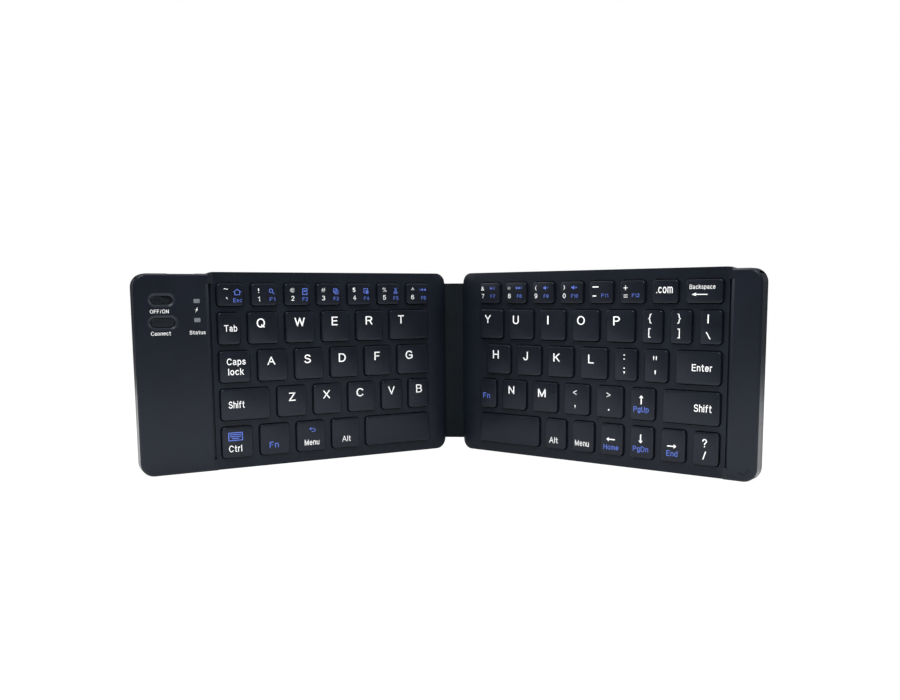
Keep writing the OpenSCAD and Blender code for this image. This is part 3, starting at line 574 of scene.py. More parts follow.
# Each entry: lettering or sign, its middle right and up from the key's middle, its width and height, and its
# ink where that isn't white
legends = {
    "grave": [("~", -1.9, 2.6, 1.9, 0.6), ("`", -1.6, -1.6, 0.7, 0.9),
              ("sign:home", 3.2, 1.2, 3.3, 2.7, blue), ("Esc", 3.3, -2.5, 4.0, 1.7, blue)],
    "1": [("!", -2.6, 1.8, 0.5, 2.1), ("1", -2.6, -1.9, 0.95, 2.2),
          ("sign:search", 3.5, 1.4, 2.5, 2.6, blue), ("F1", 3.8, -2.1, 2.6, 1.7, blue)],
    "2": [("@", -2.3, 2.0, 2.0, 2.1), ("2", -2.2, -1.8, 1.6, 2.2),
          ("sign:page", 3.8, 1.3, 2.6, 2.9, blue), ("F2", 3.9, -2.2, 2.6, 1.7, blue)],
    "3": [("#", -2.7, 2.0, 1.8, 2.0), ("3", -2.7, -1.8, 1.6, 2.2),
          ("sign:copy", 3.6, 1.4, 2.4, 2.7, blue), ("F3", 3.7, -2.1, 2.6, 1.7, blue)],
    "4": [("$", -2.7, 2.0, 1.5, 2.2), ("4", -2.5, -1.7, 1.6, 2.2),
          ("sign:paste", 3.6, 1.4, 2.6, 2.7, blue), ("F4", 3.8, -2.0, 2.6, 1.7, blue)],
    "5": [("%", -2.3, 2.0, 2.1, 2.0), ("5", -2.4, -1.7, 1.6, 2.2),
          ("sign:scissors", 3.7, 1.5, 2.0, 2.7, blue), ("F5", 3.8, -2.1, 2.6, 1.7, blue)],
    "6": [("^", -2.6, 2.4, 1.5, 1.2), ("6", -2.6, -1.6, 1.6, 2.2),
          ("sign:back", 3.2, 2.0, 3.9, 1.5, blue), ("F6", 3.5, -2.1, 2.6, 1.7, blue)],
    "7": [("&", -4.2, 2.3, 1.8, 2.0), ("7", -4.0, -1.4, 1.4, 2.0),
          ("sign:play", 1.7, 2.4, 2.8, 1.5, blue), ("F7", 1.9, -1.5, 2.6, 1.6, blue)],
    "8": [("*", -3.9, 2.3, 1.6, 1.5), ("8", -3.7, -1.4, 1.5, 2.2),
          ("sign:forward", 1.6, 2.4, 3.6, 1.5, blue), ("F8", 2.1, -1.5, 2.6, 1.6, blue)],
    "9": [("(", -3.9, 2.2, 0.8, 2.3), ("9", -3.9, -1.5, 1.5, 2.2),
          ("sign:quieter", 1.7, 2.3, 2.9, 2.0, blue), ("F9", 1.8, -1.6, 2.6, 1.6, blue)],
    "0": [(")", -3.9, 2.3, 0.8, 2.3), ("0", -3.8, -1.5, 1.5, 2.2),
          ("sign:louder", 1.5, 2.3, 2.9, 2.1, blue), ("F10", 1.7, -1.6, 3.5, 1.6, blue)],
    "minus": [("sign:bar", -2.9, 2.4, 3.1, 0.45), ("sign:bar", -3.4, -1.7, 1.8, 0.45),
              ("F11", 1.9, -1.5, 3.4, 1.6, blue)],
    "equals": [("+", -3.3, 1.8, 2.0, 2.1), ("=", -3.2, -1.8, 2.0, 1.2),
               ("F12", 1.7, -1.5, 3.6, 1.6, blue)],
    "dotcom": [(".com", -0.2, 0.7, 7.5, 2.8)],
    "backspace": [("Backspace", -0.8, 1.7, 11.3, 2.3), ("sign:arrowLeft", -2.0, -1.3, 7.0, 1.4)],
    "tab": [("Tab", 0.7, 0.1, 5.9, 3.0)],
    "caps": [("Caps", 0.6, 2.0, 8.6, 3.7), ("lock", 0.4, -2.3, 7.2, 3.1)],
    "shiftLeft": [("Shift", -4.3, 0.0, 7.4, 3.2)],
    "ctrl": [("sign:keyboard", -0.9, 2.7, 6.6, 4.0, blue), ("Ctrl", -1.1, -2.9, 6.0, 3.1)],
    "fnLeft": [("Fn", -0.6, -2.6, 4.4, 2.8, blue)],
    "menuLeft": [("sign:return", 0.6, 3.0, 3.2, 2.6, blue), ("Menu", 0.3, -3.0, 7.4, 2.8)],
    "altLeft": [("Alt", 0.2, -2.6, 4.5, 3.0)],
    "openBracket": [("{", -1.0, 3.5, 1.6, 4.3), ("[", -1.1, -2.8, 1.1, 4.1)],
    "closeBracket": [("}", -0.8, 3.6, 1.6, 4.3), ("]", -0.9, -2.8, 1.1, 4.1)],
    "backslash": [("|", -1.2, 3.6, 0.55, 3.8), ("\\", -1.0, -3.5, 2.2, 3.0)],
    "semicolon": [(":", -0.6, 3.5, 0.7, 2.4), (";", -0.5, -2.7, 0.8, 2.9)],
    "quote": [('"', -0.4, 3.5, 1.7, 1.8), ("'", -0.2, -2.8, 0.6, 1.8)],
    "enter": [("Enter", 1.9, 0.1, 9.0, 3.0)],
    "fnRight": [("Fn", -0.8, -1.2, 4.2, 2.7, blue)],
    "comma": [("<", -0.7, 3.3, 1.9, 2.1), (",", -0.6, -3.4, 0.7, 1.6)],
    "dot": [(">", -0.4, 3.2, 1.9, 2.1), (".", -0.2, -3.7, 0.7, 0.7)],
    "up": [("sign:arrowUp", -0.5, 2.0, 2.0, 4.1), ("PgUp", -0.5, -2.6, 7.4, 3.0, blue)],
    "shiftRight": [("Shift", 5.5, 0.1, 7.9, 3.3)],
    "altRight": [("Alt", -1.0, -3.0, 4.8, 3.1)],
    "menuRight": [("Menu", -0.4, -3.1, 7.4, 2.8)],
    "left": [("sign:arrowLeft", -0.4, 0.1, 4.3, 2.0), ("Home", -0.2, -3.5, 7.6, 2.4, blue)],
    "down": [("sign:arrowDown", -0.4, 1.7, 2.0, 4.1), ("PgDn", -0.4, -3.2, 7.4, 3.0, blue)],
    "right": [("sign:arrowRight", -0.5, -0.2, 4.3, 2.0), ("End", -0.3, -3.4, 5.2, 2.5, blue)],
    "slash": [("?", -0.5, 2.6, 2.1, 3.6), ("/", -0.5, -2.8, 1.6, 3.6)],
}
# The letters: their middle right and up, their width, and their height where it isn't the usual one
letterHeight = 4.1
letters = {
    "q": (-1.1, 2.2, 3.9, 4.3), "w": (-0.2, 2.4, 5.1), "e": (-0.5, 2.5, 3.1), "r": (-0.4, 2.4, 3.7),
    "t": (-4.6, 2.6, 3.2), "a": (-0.8, 2.2, 3.9), "s": (-0.9, 2.3, 3.3), "d": (-1.1, 2.2, 3.6),
    "f": (-0.5, 2.3, 2.9), "g": (-2.4, 2.2, 3.9), "z": (0.0, 2.1, 3.4), "x": (-0.6, 2.2, 3.6),
    "c": (-1.0, 2.2, 3.7), "v": (-0.4, 2.2, 3.6), "b": (0.0, 2.3, 3.3), "y": (-2.0, 2.5, 3.6),
    "u": (-2.8, 2.2, 3.4), "i": (-2.3, 2.3, 0.75), "o": (-2.2, 2.3, 4.1), "p": (-1.7, 2.3, 3.3),
    "h": (-1.4, 2.3, 3.5), "j": (-1.6, 2.1, 2.7), "k": (-1.9, 2.0, 3.7), "l": (-1.2, 2.0, 2.9),
    "n": (-1.3, 2.4, 3.6), "m": (-1.4, 2.0, 4.3),
}
for key, (x, y, width, *height) in letters.items():
    legends[key] = [(key.upper(), x, y, width, height[0] if height else letterHeight)]

# Lettering on the left end cap, by its middle from the crease and the half's middle
capPrint = [("OFF/ON", 143.75, 27.7, 8.0, 1.7), ("Connect", 143.5, 18.1, 8.4, 1.7), ("Status", 127.7, 18.2, 7.0, 1.7),
            ("sign:bolt", 127.75, 28.25, 1.7, 2.7)]


def ring(x, y, radius, count=14):
    return [(x + radius * math.cos(2 * math.pi * i / count), y + radius * math.sin(2 * math.pi * i / count))
            for i in range(count + 1)]


def box(x0, y0, x1, y1):
    return [(x0, y0), (x1, y0), (x1, y1), (x0, y1), (x0, y0)]


def turned(outlines):
    # turned half round
    return [[(-x, -y) for x, y in points] for points in outlines]


# Signs in a box one wide and one high: open or closed lines, and filled outlines
rewind = [[(-0.36, 0), (-0.02, 0.42), (-0.02, -0.42)], [(0.04, 0), (0.4, 0.42), (0.4, -0.42)]]
speaker = [[(-0.5, 0.16), (-0.5, -0.16), (-0.3, -0.16), (0.0, -0.44), (0.0, 0.44), (-0.3, 0.16)]]
pointLeft = [[(-0.5, 0), (-0.22, -0.5), (-0.22, -0.13), (0.5, -0.13), (0.5, 0.13), (-0.22, 0.13), (-0.22, 0.5)]]
pointUp = [[(0, 0.5), (-0.5, 0.2), (-0.14, 0.2), (-0.14, -0.5), (0.14, -0.5), (0.14, 0.2), (0.5, 0.2)]]
signs = {
    "home": {"lines": [[(-0.5, 0.02), (0, 0.46), (0.5, 0.02)],
                       [(-0.34, 0.1), (-0.34, -0.46), (0.34, -0.46), (0.34, 0.1)]]},
    "search": {"lines": [ring(-0.12, 0.12, 0.32), [(0.12, -0.12), (0.46, -0.46)]]},
    "page": {"lines": [box(-0.42, -0.46, 0.42, 0.46), [(-0.2, 0.2), (0.2, 0.2)], [(-0.2, 0.0), (0.2, 0.0)]],
             "fills": [[(0.1, -0.46), (0.42, -0.46), (0.42, -0.14)]]},
    "copy": {"lines": [box(-0.46, -0.2, 0.2, 0.46), box(-0.16, -0.46, 0.46, 0.18)]},
    "paste": {"lines": [box(-0.46, -0.3, 0.3, 0.46), [(-0.2, 0.1), (0.1, 0.1)]],
              "fills": [[(0.0, -0.46), (0.46, -0.46), (0.46, 0.08), (0.0, 0.08)]]},
    "scissors": {"lines": [[(-0.3, -0.16), (0.28, 0.48)], [(0.3, -0.16), (-0.28, 0.48)], ring(-0.26, -0.32, 0.16, 10),
                 ring(0.26, -0.32, 0.16, 10)]},
    "back": {"fills": rewind, "lines": [[(-0.44, 0.38), (-0.44, -0.38)]]},
    "forward": {"fills": turned(rewind), "lines": [[(0.44, 0.38), (0.44, -0.38)]]},
    "play": {"fills": [[(-0.46, 0.42), (-0.46, -0.42), (0.0, 0.0)]],
             "lines": [[(0.16, 0.38), (0.16, -0.38)], [(0.4, 0.38), (0.4, -0.38)]]},
    "quieter": {"fills": speaker, "lines": [[(0.18, 0), (0.48, 0)]]},
    "louder": {"fills": speaker, "lines": [[(0.16, 0), (0.5, 0)], [(0.33, 0.2), (0.33, -0.2)]]},
    "bar": {"fills": [[(-0.5, -0.5), (0.5, -0.5), (0.5, 0.5), (-0.5, 0.5)]]},
    "arrowLeft": {"fills": pointLeft},
    "arrowRight": {"fills": turned(pointLeft)},
    "arrowUp": {"fills": pointUp},
    "arrowDown": {"fills": turned(pointUp)},
    "bolt": {"fills": [[(0.42, 0.5), (-0.32, -0.04), (0.0, -0.04), (-0.42, -0.5), (0.32, 0.06), (0.0, 0.06)]]},
    "keyboard": {"lines": [box(-0.48, -0.44, 0.48, 0.44)] + [[(x - 0.04, y), (x + 0.04, y)] for y in (0.22, 0.0)
                 for x in (-0.32, -0.16, 0.0, 0.16, 0.32)] + [[(-0.22, -0.22), (0.22, -0.22)]]},
    "return": {"lines": [[(-0.36, 0.2), (0.2, 0.2), (0.42, 0.06), (0.46, -0.14), (0.3, -0.34), (-0.1, -0.36)]],
               "fills": [[(-0.5, 0.2), (-0.2, 0.48), (-0.2, -0.08)]]},
}


def arc(x, y, rx, ry, start, end):
    steps = max(2, math.ceil(abs(end - start) / printing["arcStep"]))
    turns = [math.radians(start + (end - start) * i / steps) for i in range(steps + 1)]
    return [(x + rx * math.cos(q), y + ry * math.sin(q)) for q in turns]


bowl = arc(0.26, 0.365, 0.26, 0.365, 0, 360)


# Plain upright lettering by its pen lines: each character's width and lines, in heights of a capital
pen = {
    "A": (0.8, [[(0, 0), (0.4, 1), (0.8, 0)], [(0.15, 0.34), (0.65, 0.34)]]),
    "B": (0.62, [[(0, 0.53), (0, 1), (0.34, 1)] + arc(0.34, 0.765, 0.24, 0.235, 90, -90) + [(0, 0.53)],
                 [(0, 0.53), (0.36, 0.53)] + arc(0.36, 0.265, 0.26, 0.265, 90, -90) + [(0, 0), (0, 0.53)]]),
    "C": (0.72, [arc(0.38, 0.5, 0.38, 0.5, 38, 322)]),
    "D": (0.68, [[(0, 0.5), (0, 1), (0.28, 1)] + arc(0.28, 0.5, 0.4, 0.5, 90, -90) + [(0, 0), (0, 0.5)]]),
    "E": (0.58, [[(0.57, 1), (0, 1), (0, 0), (0.58, 0)], [(0, 0.52), (0.52, 0.52)]]),
    "F": (0.52, [[(0.52, 1), (0, 1), (0, 0)], [(0, 0.5), (0.44, 0.5)]]),
    "G": (0.78, [arc(0.4, 0.5, 0.4, 0.5, 42, 318) + [(0.76, 0.14), (0.76, 0.46), (0.46, 0.46)]]),
    "H": (0.64, [[(0, 0), (0, 1)], [(0.64, 0), (0.64, 1)], [(0, 0.52), (0.64, 0.52)]]),
    "I": (0.0, [[(0, 0), (0, 1)]]),
    "J": (0.46, [[(0.46, 1), (0.46, 0.24)] + arc(0.23, 0.24, 0.23, 0.24, 0, -180)]),
    "K": (0.64, [[(0, 0), (0, 1)], [(0.6, 1), (0, 0.36)], [(0.22, 0.58), (0.62, 0)]]),
    "L": (0.54, [[(0, 1), (0, 0), (0.54, 0)]]),
    "M": (0.78, [[(0, 0), (0, 1)], [(0.02, 1), (0.39, 0.04)], [(0.76, 1), (0.39, 0.04)], [(0.78, 1), (0.78, 0)]]),
    "N": (0.64, [[(0, 0), (0, 1)], [(0, 1), (0.64, 0)], [(0.64, 0), (0.64, 1)]]),
    "O": (0.8, [arc(0.4, 0.5, 0.4, 0.5, 0, 360)]),
    "P": (0.6, [[(0, 0), (0, 1), (0.34, 1)] + arc(0.34, 0.735, 0.26, 0.265, 90, -90) + [(0, 0.47)]]),
    "Q": (0.8, [arc(0.4, 0.5, 0.4, 0.5, 0, 360), [(0.5, 0.24), (0.76, 0.0)]]),
    "R": (0.64, [[(0, 0), (0, 1), (0.36, 1)] + arc(0.36, 0.745, 0.25, 0.255, 90, -90) + [(0, 0.49)],
                 [(0.38, 0.49), (0.62, 0)]]),
    "S": (0.64, [arc(0.32, 0.755, 0.28, 0.245, 20, 270)[:-1] + arc(0.32, 0.255, 0.32, 0.255, 80, -160)]),
    "T": (0.68, [[(0, 1), (0.68, 1)], [(0.34, 1), (0.34, 0)]]),
    "U": (0.62, [[(0, 1), (0, 0.3)] + arc(0.31, 0.3, 0.31, 0.3, 180, 360) + [(0.62, 1)]]),
    "V": (0.74, [[(0, 1), (0.37, 0)], [(0.37, 0), (0.74, 1)]]),
    "W": (1.08, [[(0, 1), (0.26, 0)], [(0.26, 0), (0.54, 1)], [(0.54, 1), (0.82, 0)], [(0.82, 0), (1.08, 1)]]),
    "X": (0.68, [[(0, 0), (0.68, 1)], [(0, 1), (0.68, 0)]]),
    "Y": (0.72, [[(0, 1), (0.36, 0.44)], [(0.72, 1), (0.36, 0.44)], [(0.36, 0.48), (0.36, 0)]]),
    "Z": (0.64, [[(0.02, 1), (0.62, 1)], [(0.62, 1), (0, 0)], [(0, 0), (0.64, 0)]]),
    "a": (0.52, [arc(0.24, 0.54, 0.22, 0.19, 155, 0) + [(0.46, 0.1), (0.52, 0)],
                 [(0.46, 0.44)] + arc(0.21, 0.2, 0.21, 0.2, 75, 290) + [(0.46, 0.16)]]),
    "b": (0.52, [[(0, 1), (0, 0)], bowl]),
    "c": (0.48, [arc(0.26, 0.365, 0.26, 0.365, 45, 315)]),
    "d": (0.52, [[(0.52, 1), (0.52, 0)], bowl]),
    "e": (0.52, [[(0.02, 0.38), (0.52, 0.38)] + arc(0.26, 0.365, 0.26, 0.365, 20, 318)]),
    "f": (0.34, [arc(0.32, 0.8, 0.19, 0.2, 90, 180) + [(0.13, 0)], [(0, 0.7), (0.32, 0.7)]]),
    "g": (0.5, [arc(0.25, 0.38, 0.25, 0.35, 0, 360),
                [(0.5, 0.73), (0.5, -0.04)] + arc(0.25, -0.04, 0.25, 0.22, 0, -150)]),
    "h": (0.46, [[(0, 1), (0, 0)], arc(0.23, 0.5, 0.23, 0.23, 170, 0) + [(0.46, 0)]]),
    "i": (0.0, [[(0, 0.73), (0, 0)], [(0, 0.97), (0, 1)]]),
    "k": (0.46, [[(0, 1), (0, 0)], [(0.42, 0.73), (0, 0.28)], [(0.16, 0.42), (0.46, 0)]]),
    "l": (0.0, [[(0, 1), (0, 0)]]),
    "m": (0.76, [[(0, 0.73), (0, 0)], arc(0.19, 0.53, 0.19, 0.2, 165, 0) + [(0.38, 0)],
                 arc(0.57, 0.53, 0.19, 0.2, 165, 0) + [(0.76, 0)]]),
    "n": (0.46, [[(0, 0.73), (0, 0)], arc(0.23, 0.5, 0.23, 0.23, 165, 0) + [(0.46, 0)]]),
    "o": (0.52, [bowl]),
    "p": (0.52, [[(0, 0.73), (0, -0.26)], bowl]),
    "r": (0.28, [[(0, 0.73), (0, 0)], arc(0.26, 0.45, 0.26, 0.28, 165, 90)]),
    "s": (0.44, [arc(0.22, 0.55, 0.19, 0.18, 20, 270)[:-1] + arc(0.22, 0.185, 0.22, 0.185, 80, -165)]),
    "t": (0.32, [[(0.13, 0.95), (0.13, 0.14)] + arc(0.27, 0.14, 0.14, 0.14, 180, 285), [(0, 0.7), (0.32, 0.7)]]),
    "u": (0.46, [[(0, 0.73), (0, 0.23)] + arc(0.23, 0.23, 0.23, 0.23, 180, 345), [(0.46, 0.73), (0.46, 0)]]),
    "0": (0.54, [arc(0.27, 0.5, 0.27, 0.5, 0, 360)]),
    "1": (0.26, [[(0, 0.76), (0.18, 0.82), (0.26, 1), (0.26, 0)]]),
    "2": (0.56, [arc(0.28, 0.71, 0.27, 0.29, 170, -35) + [(0, 0.0), (0.56, 0)]]),
    "3": (0.56, [arc(0.27, 0.765, 0.23, 0.235, 155, -90)[:-1] + arc(0.27, 0.265, 0.28, 0.265, 80, -155)]),
    "4": (0.6, [[(0.42, 0), (0.42, 1)], [(0.42, 1), (0, 0.28)], [(0, 0.28), (0.6, 0.28)]]),
    "5": (0.56, [[(0.52, 1), (0.1, 1), (0.05, 0.52)] + arc(0.27, 0.33, 0.28, 0.33, 125, -150)]),
    "6": (0.56, [arc(0.3, 0.62, 0.28, 0.38, 45, 180) + [(0.02, 0.32)], arc(0.29, 0.31, 0.27, 0.31, 0, 360)]),
    "7": (0.56, [[(0, 1), (0.56, 1), (0.2, 0)]]),
    "8": (0.56, [arc(0.28, 0.76, 0.24, 0.24, 0, 360), arc(0.28, 0.26, 0.28, 0.26, 0, 360)]),
    "9": (0.56, [arc(0.27, 0.69, 0.27, 0.31, 0, 360), [(0.54, 0.68)] + arc(0.26, 0.38, 0.28, 0.38, 0, -135)]),
    "/": (0.3, [[(0, 0), (0.3, 1)]]),
    ".": (0.0, [[(0, 0), (0, 0.03)]]),
    "?": (0.5, [arc(0.25, 0.74, 0.25, 0.26, 175, -20) + [(0.25, 0.38), (0.25, 0.3)], [(0.25, 0), (0.25, 0.03)]]),
}
glyphs = {}


def ribbon(built, points, w, stretch=1.0):
    # a solid line of width 2w along these points, mitred where it turns and squared at its ends
    pts = [Vector((x * stretch, y)) for x, y in points]
    ends = (pts[0] - pts[-1]).length > 1e-4
    if ends:
        pts[0] = pts[0] + (pts[0] - pts[1]).normalized() * w
        pts[-1] = pts[-1] + (pts[-1] - pts[-2]).normalized() * w
    else:
        pts.pop()
    n = len(pts)
    rows = []
    for i, q in enumerate(pts):
        before = (q - pts[i - 1]).normalized() if i or not ends else None
        after = (pts[(i + 1) % n] - q).normalized() if i < n - 1 or not ends else None
        before, after = before or after, after or before
        a, b = Vector((-before.y, before.x)), Vector((-after.y, after.x))
        side = (a + b) / max(printing["sharpestMitre"], 1 + a.dot(b)) * w
        rows.append([built.verts.new(((q + k * side).x / stretch, (q + k * side).y, z))
                     for k, z in ((-1, -0.5), (1, -0.5), (1, 0.5), (-1, 0.5))])
    for one, two in zip(rows, rows[1:] + ([] if ends else rows[:1])):
        bridge(built, one, two)
    if ends:
        built.faces.new(rows[0][::-1])
        built.faces.new(rows[-1])


def filled(built, outline):
    # a filled outline as a solid one thick
    low, high = ([built.verts.new((x, y, z)) for x, y in outline] for z in (-0.5, 0.5))
    built.faces.new(low[::-1])
    built.faces.new(high)
    bridge(built, low, high)


def fitBox(mesh):
    # the mesh moved and scaled into a box one wide and one high, round the origin
    xs = [v.co.x for v in mesh.vertices]
    ys = [v.co.y for v in mesh.vertices]
    middle = Vector(((min(xs) + max(xs)) / 2, (min(ys) + max(ys)) / 2, 0))
    scale = Matrix.Diagonal((1 / (max(xs) - min(xs)), 1 / (max(ys) - min(ys)), 1, 1))
    mesh.transform(scale @ Matrix.Translation(-middle))


def drawnMesh(fills, lines, w, stretch=1.0):
    # filled outlines and lines of width 2w as one solid; the stretch keeps the lines' width in a wide or narrow box
    built = bmesh.new()
    for outline in fills:
        filled(built, outline)
    for points in lines:
        ribbon(built, points, w, stretch)
    bmesh.ops.recalc_face_normals(built, faces=built.faces)
    return meshFrom(built, "glyph")


def penLines(what):
    # a word's pen lines, one character after another
    start, lines = 0.0, []
    for c in what:
        width, strokes = pen[c]
        lines += [[(x + start, y) for x, y in points] for points in strokes]
        start += width + printing["pitch"]
    return lines


def symbolMesh(what, small):
    # a symbol that the pen table doesn't have, in the built-in font
    curve = bpy.data.curves.new("glyph", "FONT")
    curve.body = what
    curve.offset = printing["thinner" if small else "thin"]
    curve.extrude = 0.5
    curve.resolution_u = printing["steps"]
    piece = link("shaping", curve)
    mesh = takeMesh(piece)
    bpy.data.objects.remove(piece)
    return mesh


def glyph(what, width, height):
    # flat solid lettering or a sign in a box one metre each way, round the origin
    small = height < printing["small"]
    sign = signs[what[5:]] if what.startswith("sign:") else None
    key = (what, round(width / height, 1) if sign else small)
    if key in glyphs:
        return glyphs[key]
    if sign:
        mesh = drawnMesh(sign.get("fills", []), sign.get("lines", []), printing["stroke"] / 2, width / height)
    elif all(c in pen for c in what):
        mesh = drawnMesh([], penLines(what), printing["finePen" if small else "pen"] / 2)
    else:
        mesh = symbolMesh(what, small)
    if not sign:
        fitBox(mesh)
    glyphs[key] = mesh
    return mesh


def printed(what, width, height, matrix, ink):
    # lettering of this size in millimetres at its place, as a part for joined
    size = Matrix.Diagonal((width * mm, height * mm, printing["ink"] * mm, 1))
    return glyph(what, width, height), matrix @ size, ink


for side, body, group in keyGroups():
    parts = []
    for k in group:
        for what, x, y, width, height, *ink in legends.get(k["key"], []):
            place = at(side, k["x"], k["y"], keyLayout["top"]) @ Matrix.Translation(Vector((x, y, 0)) * mm)
            parts.append(printed(what, width, height, place, ink[0] if ink else white))
    if parts:
        finishPiece(body + "_legend", joined(body + "_legend", parts, [white, blue]), body)
parts = [printed(what, width, height, at(-1, x, y, half["capTop"]), white) for what, x, y, width, height in capPrint]
finishPiece("leftEndCap_print", joined("leftEndCap_print", parts, [white]), "left_half")
print("legends printed:", len(legends))

# Scissor links and domes, one piece under each key body
scissors = {"sheetTop": 1.85, "under": 6.65, "thick": 0.6, "bar": 0.6, "length": 9.5, "inset": 2.4, "play": 0.1,
            "domeFoot": 1.7, "domeTop": 1.0, "plunger": 1.2, "wide": 30, "travel": 1.4}


def scissorTree():
    # two crossed rings of flat bars, tilted opposite ways about the same middle
    tree, given = newTree("scissor", "Width", "Length", "Bar", "Thickness", "Tilt", "Play")

    def aside(whole, sign):
        # how far a bar's middle stands from the ring's
        between = put(tree, "ShaderNodeMath", {0: whole, 1: given["Bar"]}, operation="SUBTRACT")
        return put(tree, "ShaderNodeMath", {0: between, 1: sign / 2}, operation="MULTIPLY")

    def ringOfBars(width, tilt):
        bars = []
        for sign in (-1.0, 1.0):
            for along in (True, False):
                size = put(tree, "ShaderNodeCombineXYZ", {"X": given["Bar"] if along else width,
                           "Y": given["Length"] if along else given["Bar"], "Z": given["Thickness"]})
                bar = put(tree, "GeometryNodeMeshCube", {"Size": size})
                spot = put(tree, "ShaderNodeCombineXYZ", {"X": aside(width, sign)} if along
                           else {"Y": aside(given["Length"], sign)})
                bars.append(put(tree, "GeometryNodeTransform", {"Geometry": bar, "Translation": spot}))
        whole = put(tree, "GeometryNodeJoinGeometry", {"Geometry": bars})
        turn = put(tree, "ShaderNodeCombineXYZ", {"X": tilt})
        return put(tree, "GeometryNodeTransform", {"Geometry": whole, "Rotation": turn})

    beside = put(tree, "ShaderNodeMath", {0: given["Bar"], 1: given["Play"]}, operation="ADD")
    inner = put(tree, "ShaderNodeMath", {0: beside, 1: -2.0, 2: given["Width"]}, operation="MULTIPLY_ADD")
    back = put(tree, "ShaderNodeMath", {0: given["Tilt"], 1: -1.0}, operation="MULTIPLY")
    pair = [ringOfBars(given["Width"], given["Tilt"]), ringOfBars(inner, back)]
    return endTree(tree, put(tree, "GeometryNodeJoinGeometry", {"Geometry": pair}), given)


s = scissors
rise = s["under"] - s["sheetTop"]
domeHeight = rise - s["plunger"]
dome = smoothBy(post(s["domeFoot"], s["domeTop"], domeHeight, "domeSilicone"), sharpFrom["cap"])
linkTree = scissorTree()
linkMeshes = {}


def linkMesh(width):
    # a pair of links for a key of this width, made once
    s = scissors
    if width not in linkMeshes:
        sizes = {"Width": width, "Length": s["length"], "Bar": s["bar"], "Thickness": s["thick"], "Play": s["play"]}
        tilt = math.asin((rise - s["thick"]) / s["length"])
        linkMeshes[width] = runTree(linkTree, sizes, "linkAcetal", Tilt=tilt)
    return linkMeshes[width]


for side, body, group in keyGroups():
    parts = []
    for k in group:
        sideways = k["depth"] < keyLayout["rowDepth"]
        width = round(min(k["depth"] if sideways else k["width"], keyLayout["rowDepth"]) - s["inset"], 2)
        for shift in ([-k["width"] / 4, k["width"] / 4] if k["width"] > s["wide"] else [0]):
            place = at(side, k["x"] + shift, k["y"], (s["under"] + s["sheetTop"]) / 2, math.pi / 2 if sideways else 0)
            parts.append((linkMesh(width), place, "linkAcetal"))
        parts.append((dome, at(side, k["x"], k["y"], s["sheetTop"]), "domeSilicone"))
    piece = link(body + "_links", joined(body + "_links", parts, ["linkAcetal", "domeSilicone"]))
    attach(piece, sideName[side] + "_half")
    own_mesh(piece)
    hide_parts(sideName[side] + "_scissor_links", sideName[side] + "_rubber_domes")
print("links made for", len(linkMeshes), "sizes")

# Spine: one soft band, in two pieces that meet in its middle
spine = {"thick": 1.18, "edge": 5.0, "into": 9.8, "round": 0.35, "roundSteps": 4, "bend": 1.6, "groove": 0.12,
         "grooveHalf": 0.5, "step": 0.25}
creaseGap = (pivot["fold_right"] - pivot["fold_left"]).length / mm


def bandPath():
    # the band's middle line from the spine's middle into a half: x, y, its turn and its groove's depth
    a = math.radians(half["lean"])
    bend, radius = spine["bend"], spine["bend"] / a
    flat = creaseGap / 2 - bend / 2
    path = []
    for i in range(int((creaseGap / 2 + spine["into"]) / spine["step"]) + 1):
        distance = i * spine["step"]
        turn = a * min(max((distance - flat) / bend, 0.0), 1.0)
        after = max(distance - flat - bend, 0.0)
        x = min(distance, flat) + radius * math.sin(turn) + after * math.cos(a)
        y = -radius * (1 - math.cos(turn)) - after * math.sin(a)
        near = [max(0.0, 1 - abs(d) / spine["grooveHalf"]) for d in (distance, distance - creaseGap / 2)]
        path.append((x, y, turn, sum(near) * spine["groove"]))
    return path


def bandMesh(side):
    # a flat outline with rounded ends swept along the band's path
    middle = (pivot["fold_left"] + pivot["fold_right"]) / 2
    r, steps = spine["round"], spine["roundSteps"]
    reach, height = spine["thick"] / 2 - r, half["depth"] / 2 - spine["edge"] - r
    outline = []
    for corner, (across, up) in enumerate(((reach, height), (-reach, height), (-reach, -height), (reach, -height))):
        for i in range(steps + 1):
            q = math.radians(90 * (corner + i / steps))
            outline.append((across + r * math.cos(q), up + r * math.sin(q)))
    built = bmesh.new()
    rings = []
    for x, y, turn, groove in bandPath():
        verts = []
        for across, up in outline:
            out = across - math.copysign(groove, across)
            spot = Vector((side * (x + out * math.sin(turn)), y + out * math.cos(turn), up))
            verts.append(built.verts.new(middle + spot * mm))
        rings.append(verts)
    for one, two in zip(rings, rings[1:]):
        bridge(built, one, two)
    built.faces.new(rings[0])
    built.faces.new(rings[-1])
    bmesh.ops.recalc_face_normals(built, faces=built.faces)
    mesh = meshFrom(built, "band")
    # the skin's dark colour is partly painted shade of the crease
    mesh.materials.append(materials["spineSkin"])
    return smoothBy(mesh, sharpFrom["rubber"])


for side in (-1, 1):
    band = link(sideName[side] + "Band", bandMesh(side))
    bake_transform(band)
    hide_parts("spine_skin", sideName[side] + "_spine_tail")
print("spine made")

# Screws and feet
fixings = {"headRadius": 1.5, "headDepth": 0.62, "shank": 0.8, "length": 4.45, "cross": 0.32, "crossLength": 1.8,
           "crossDepth": 0.35, "bossY": 42.1, "deckX": 20, "fieldInset": 16, "capInset": 6, "capY": 39}
footing = {"radius": 4.0, "height": 0.6, "sunk": 0.3, "round": 0.35, "x": 20, "inset": 14, "y": 35}


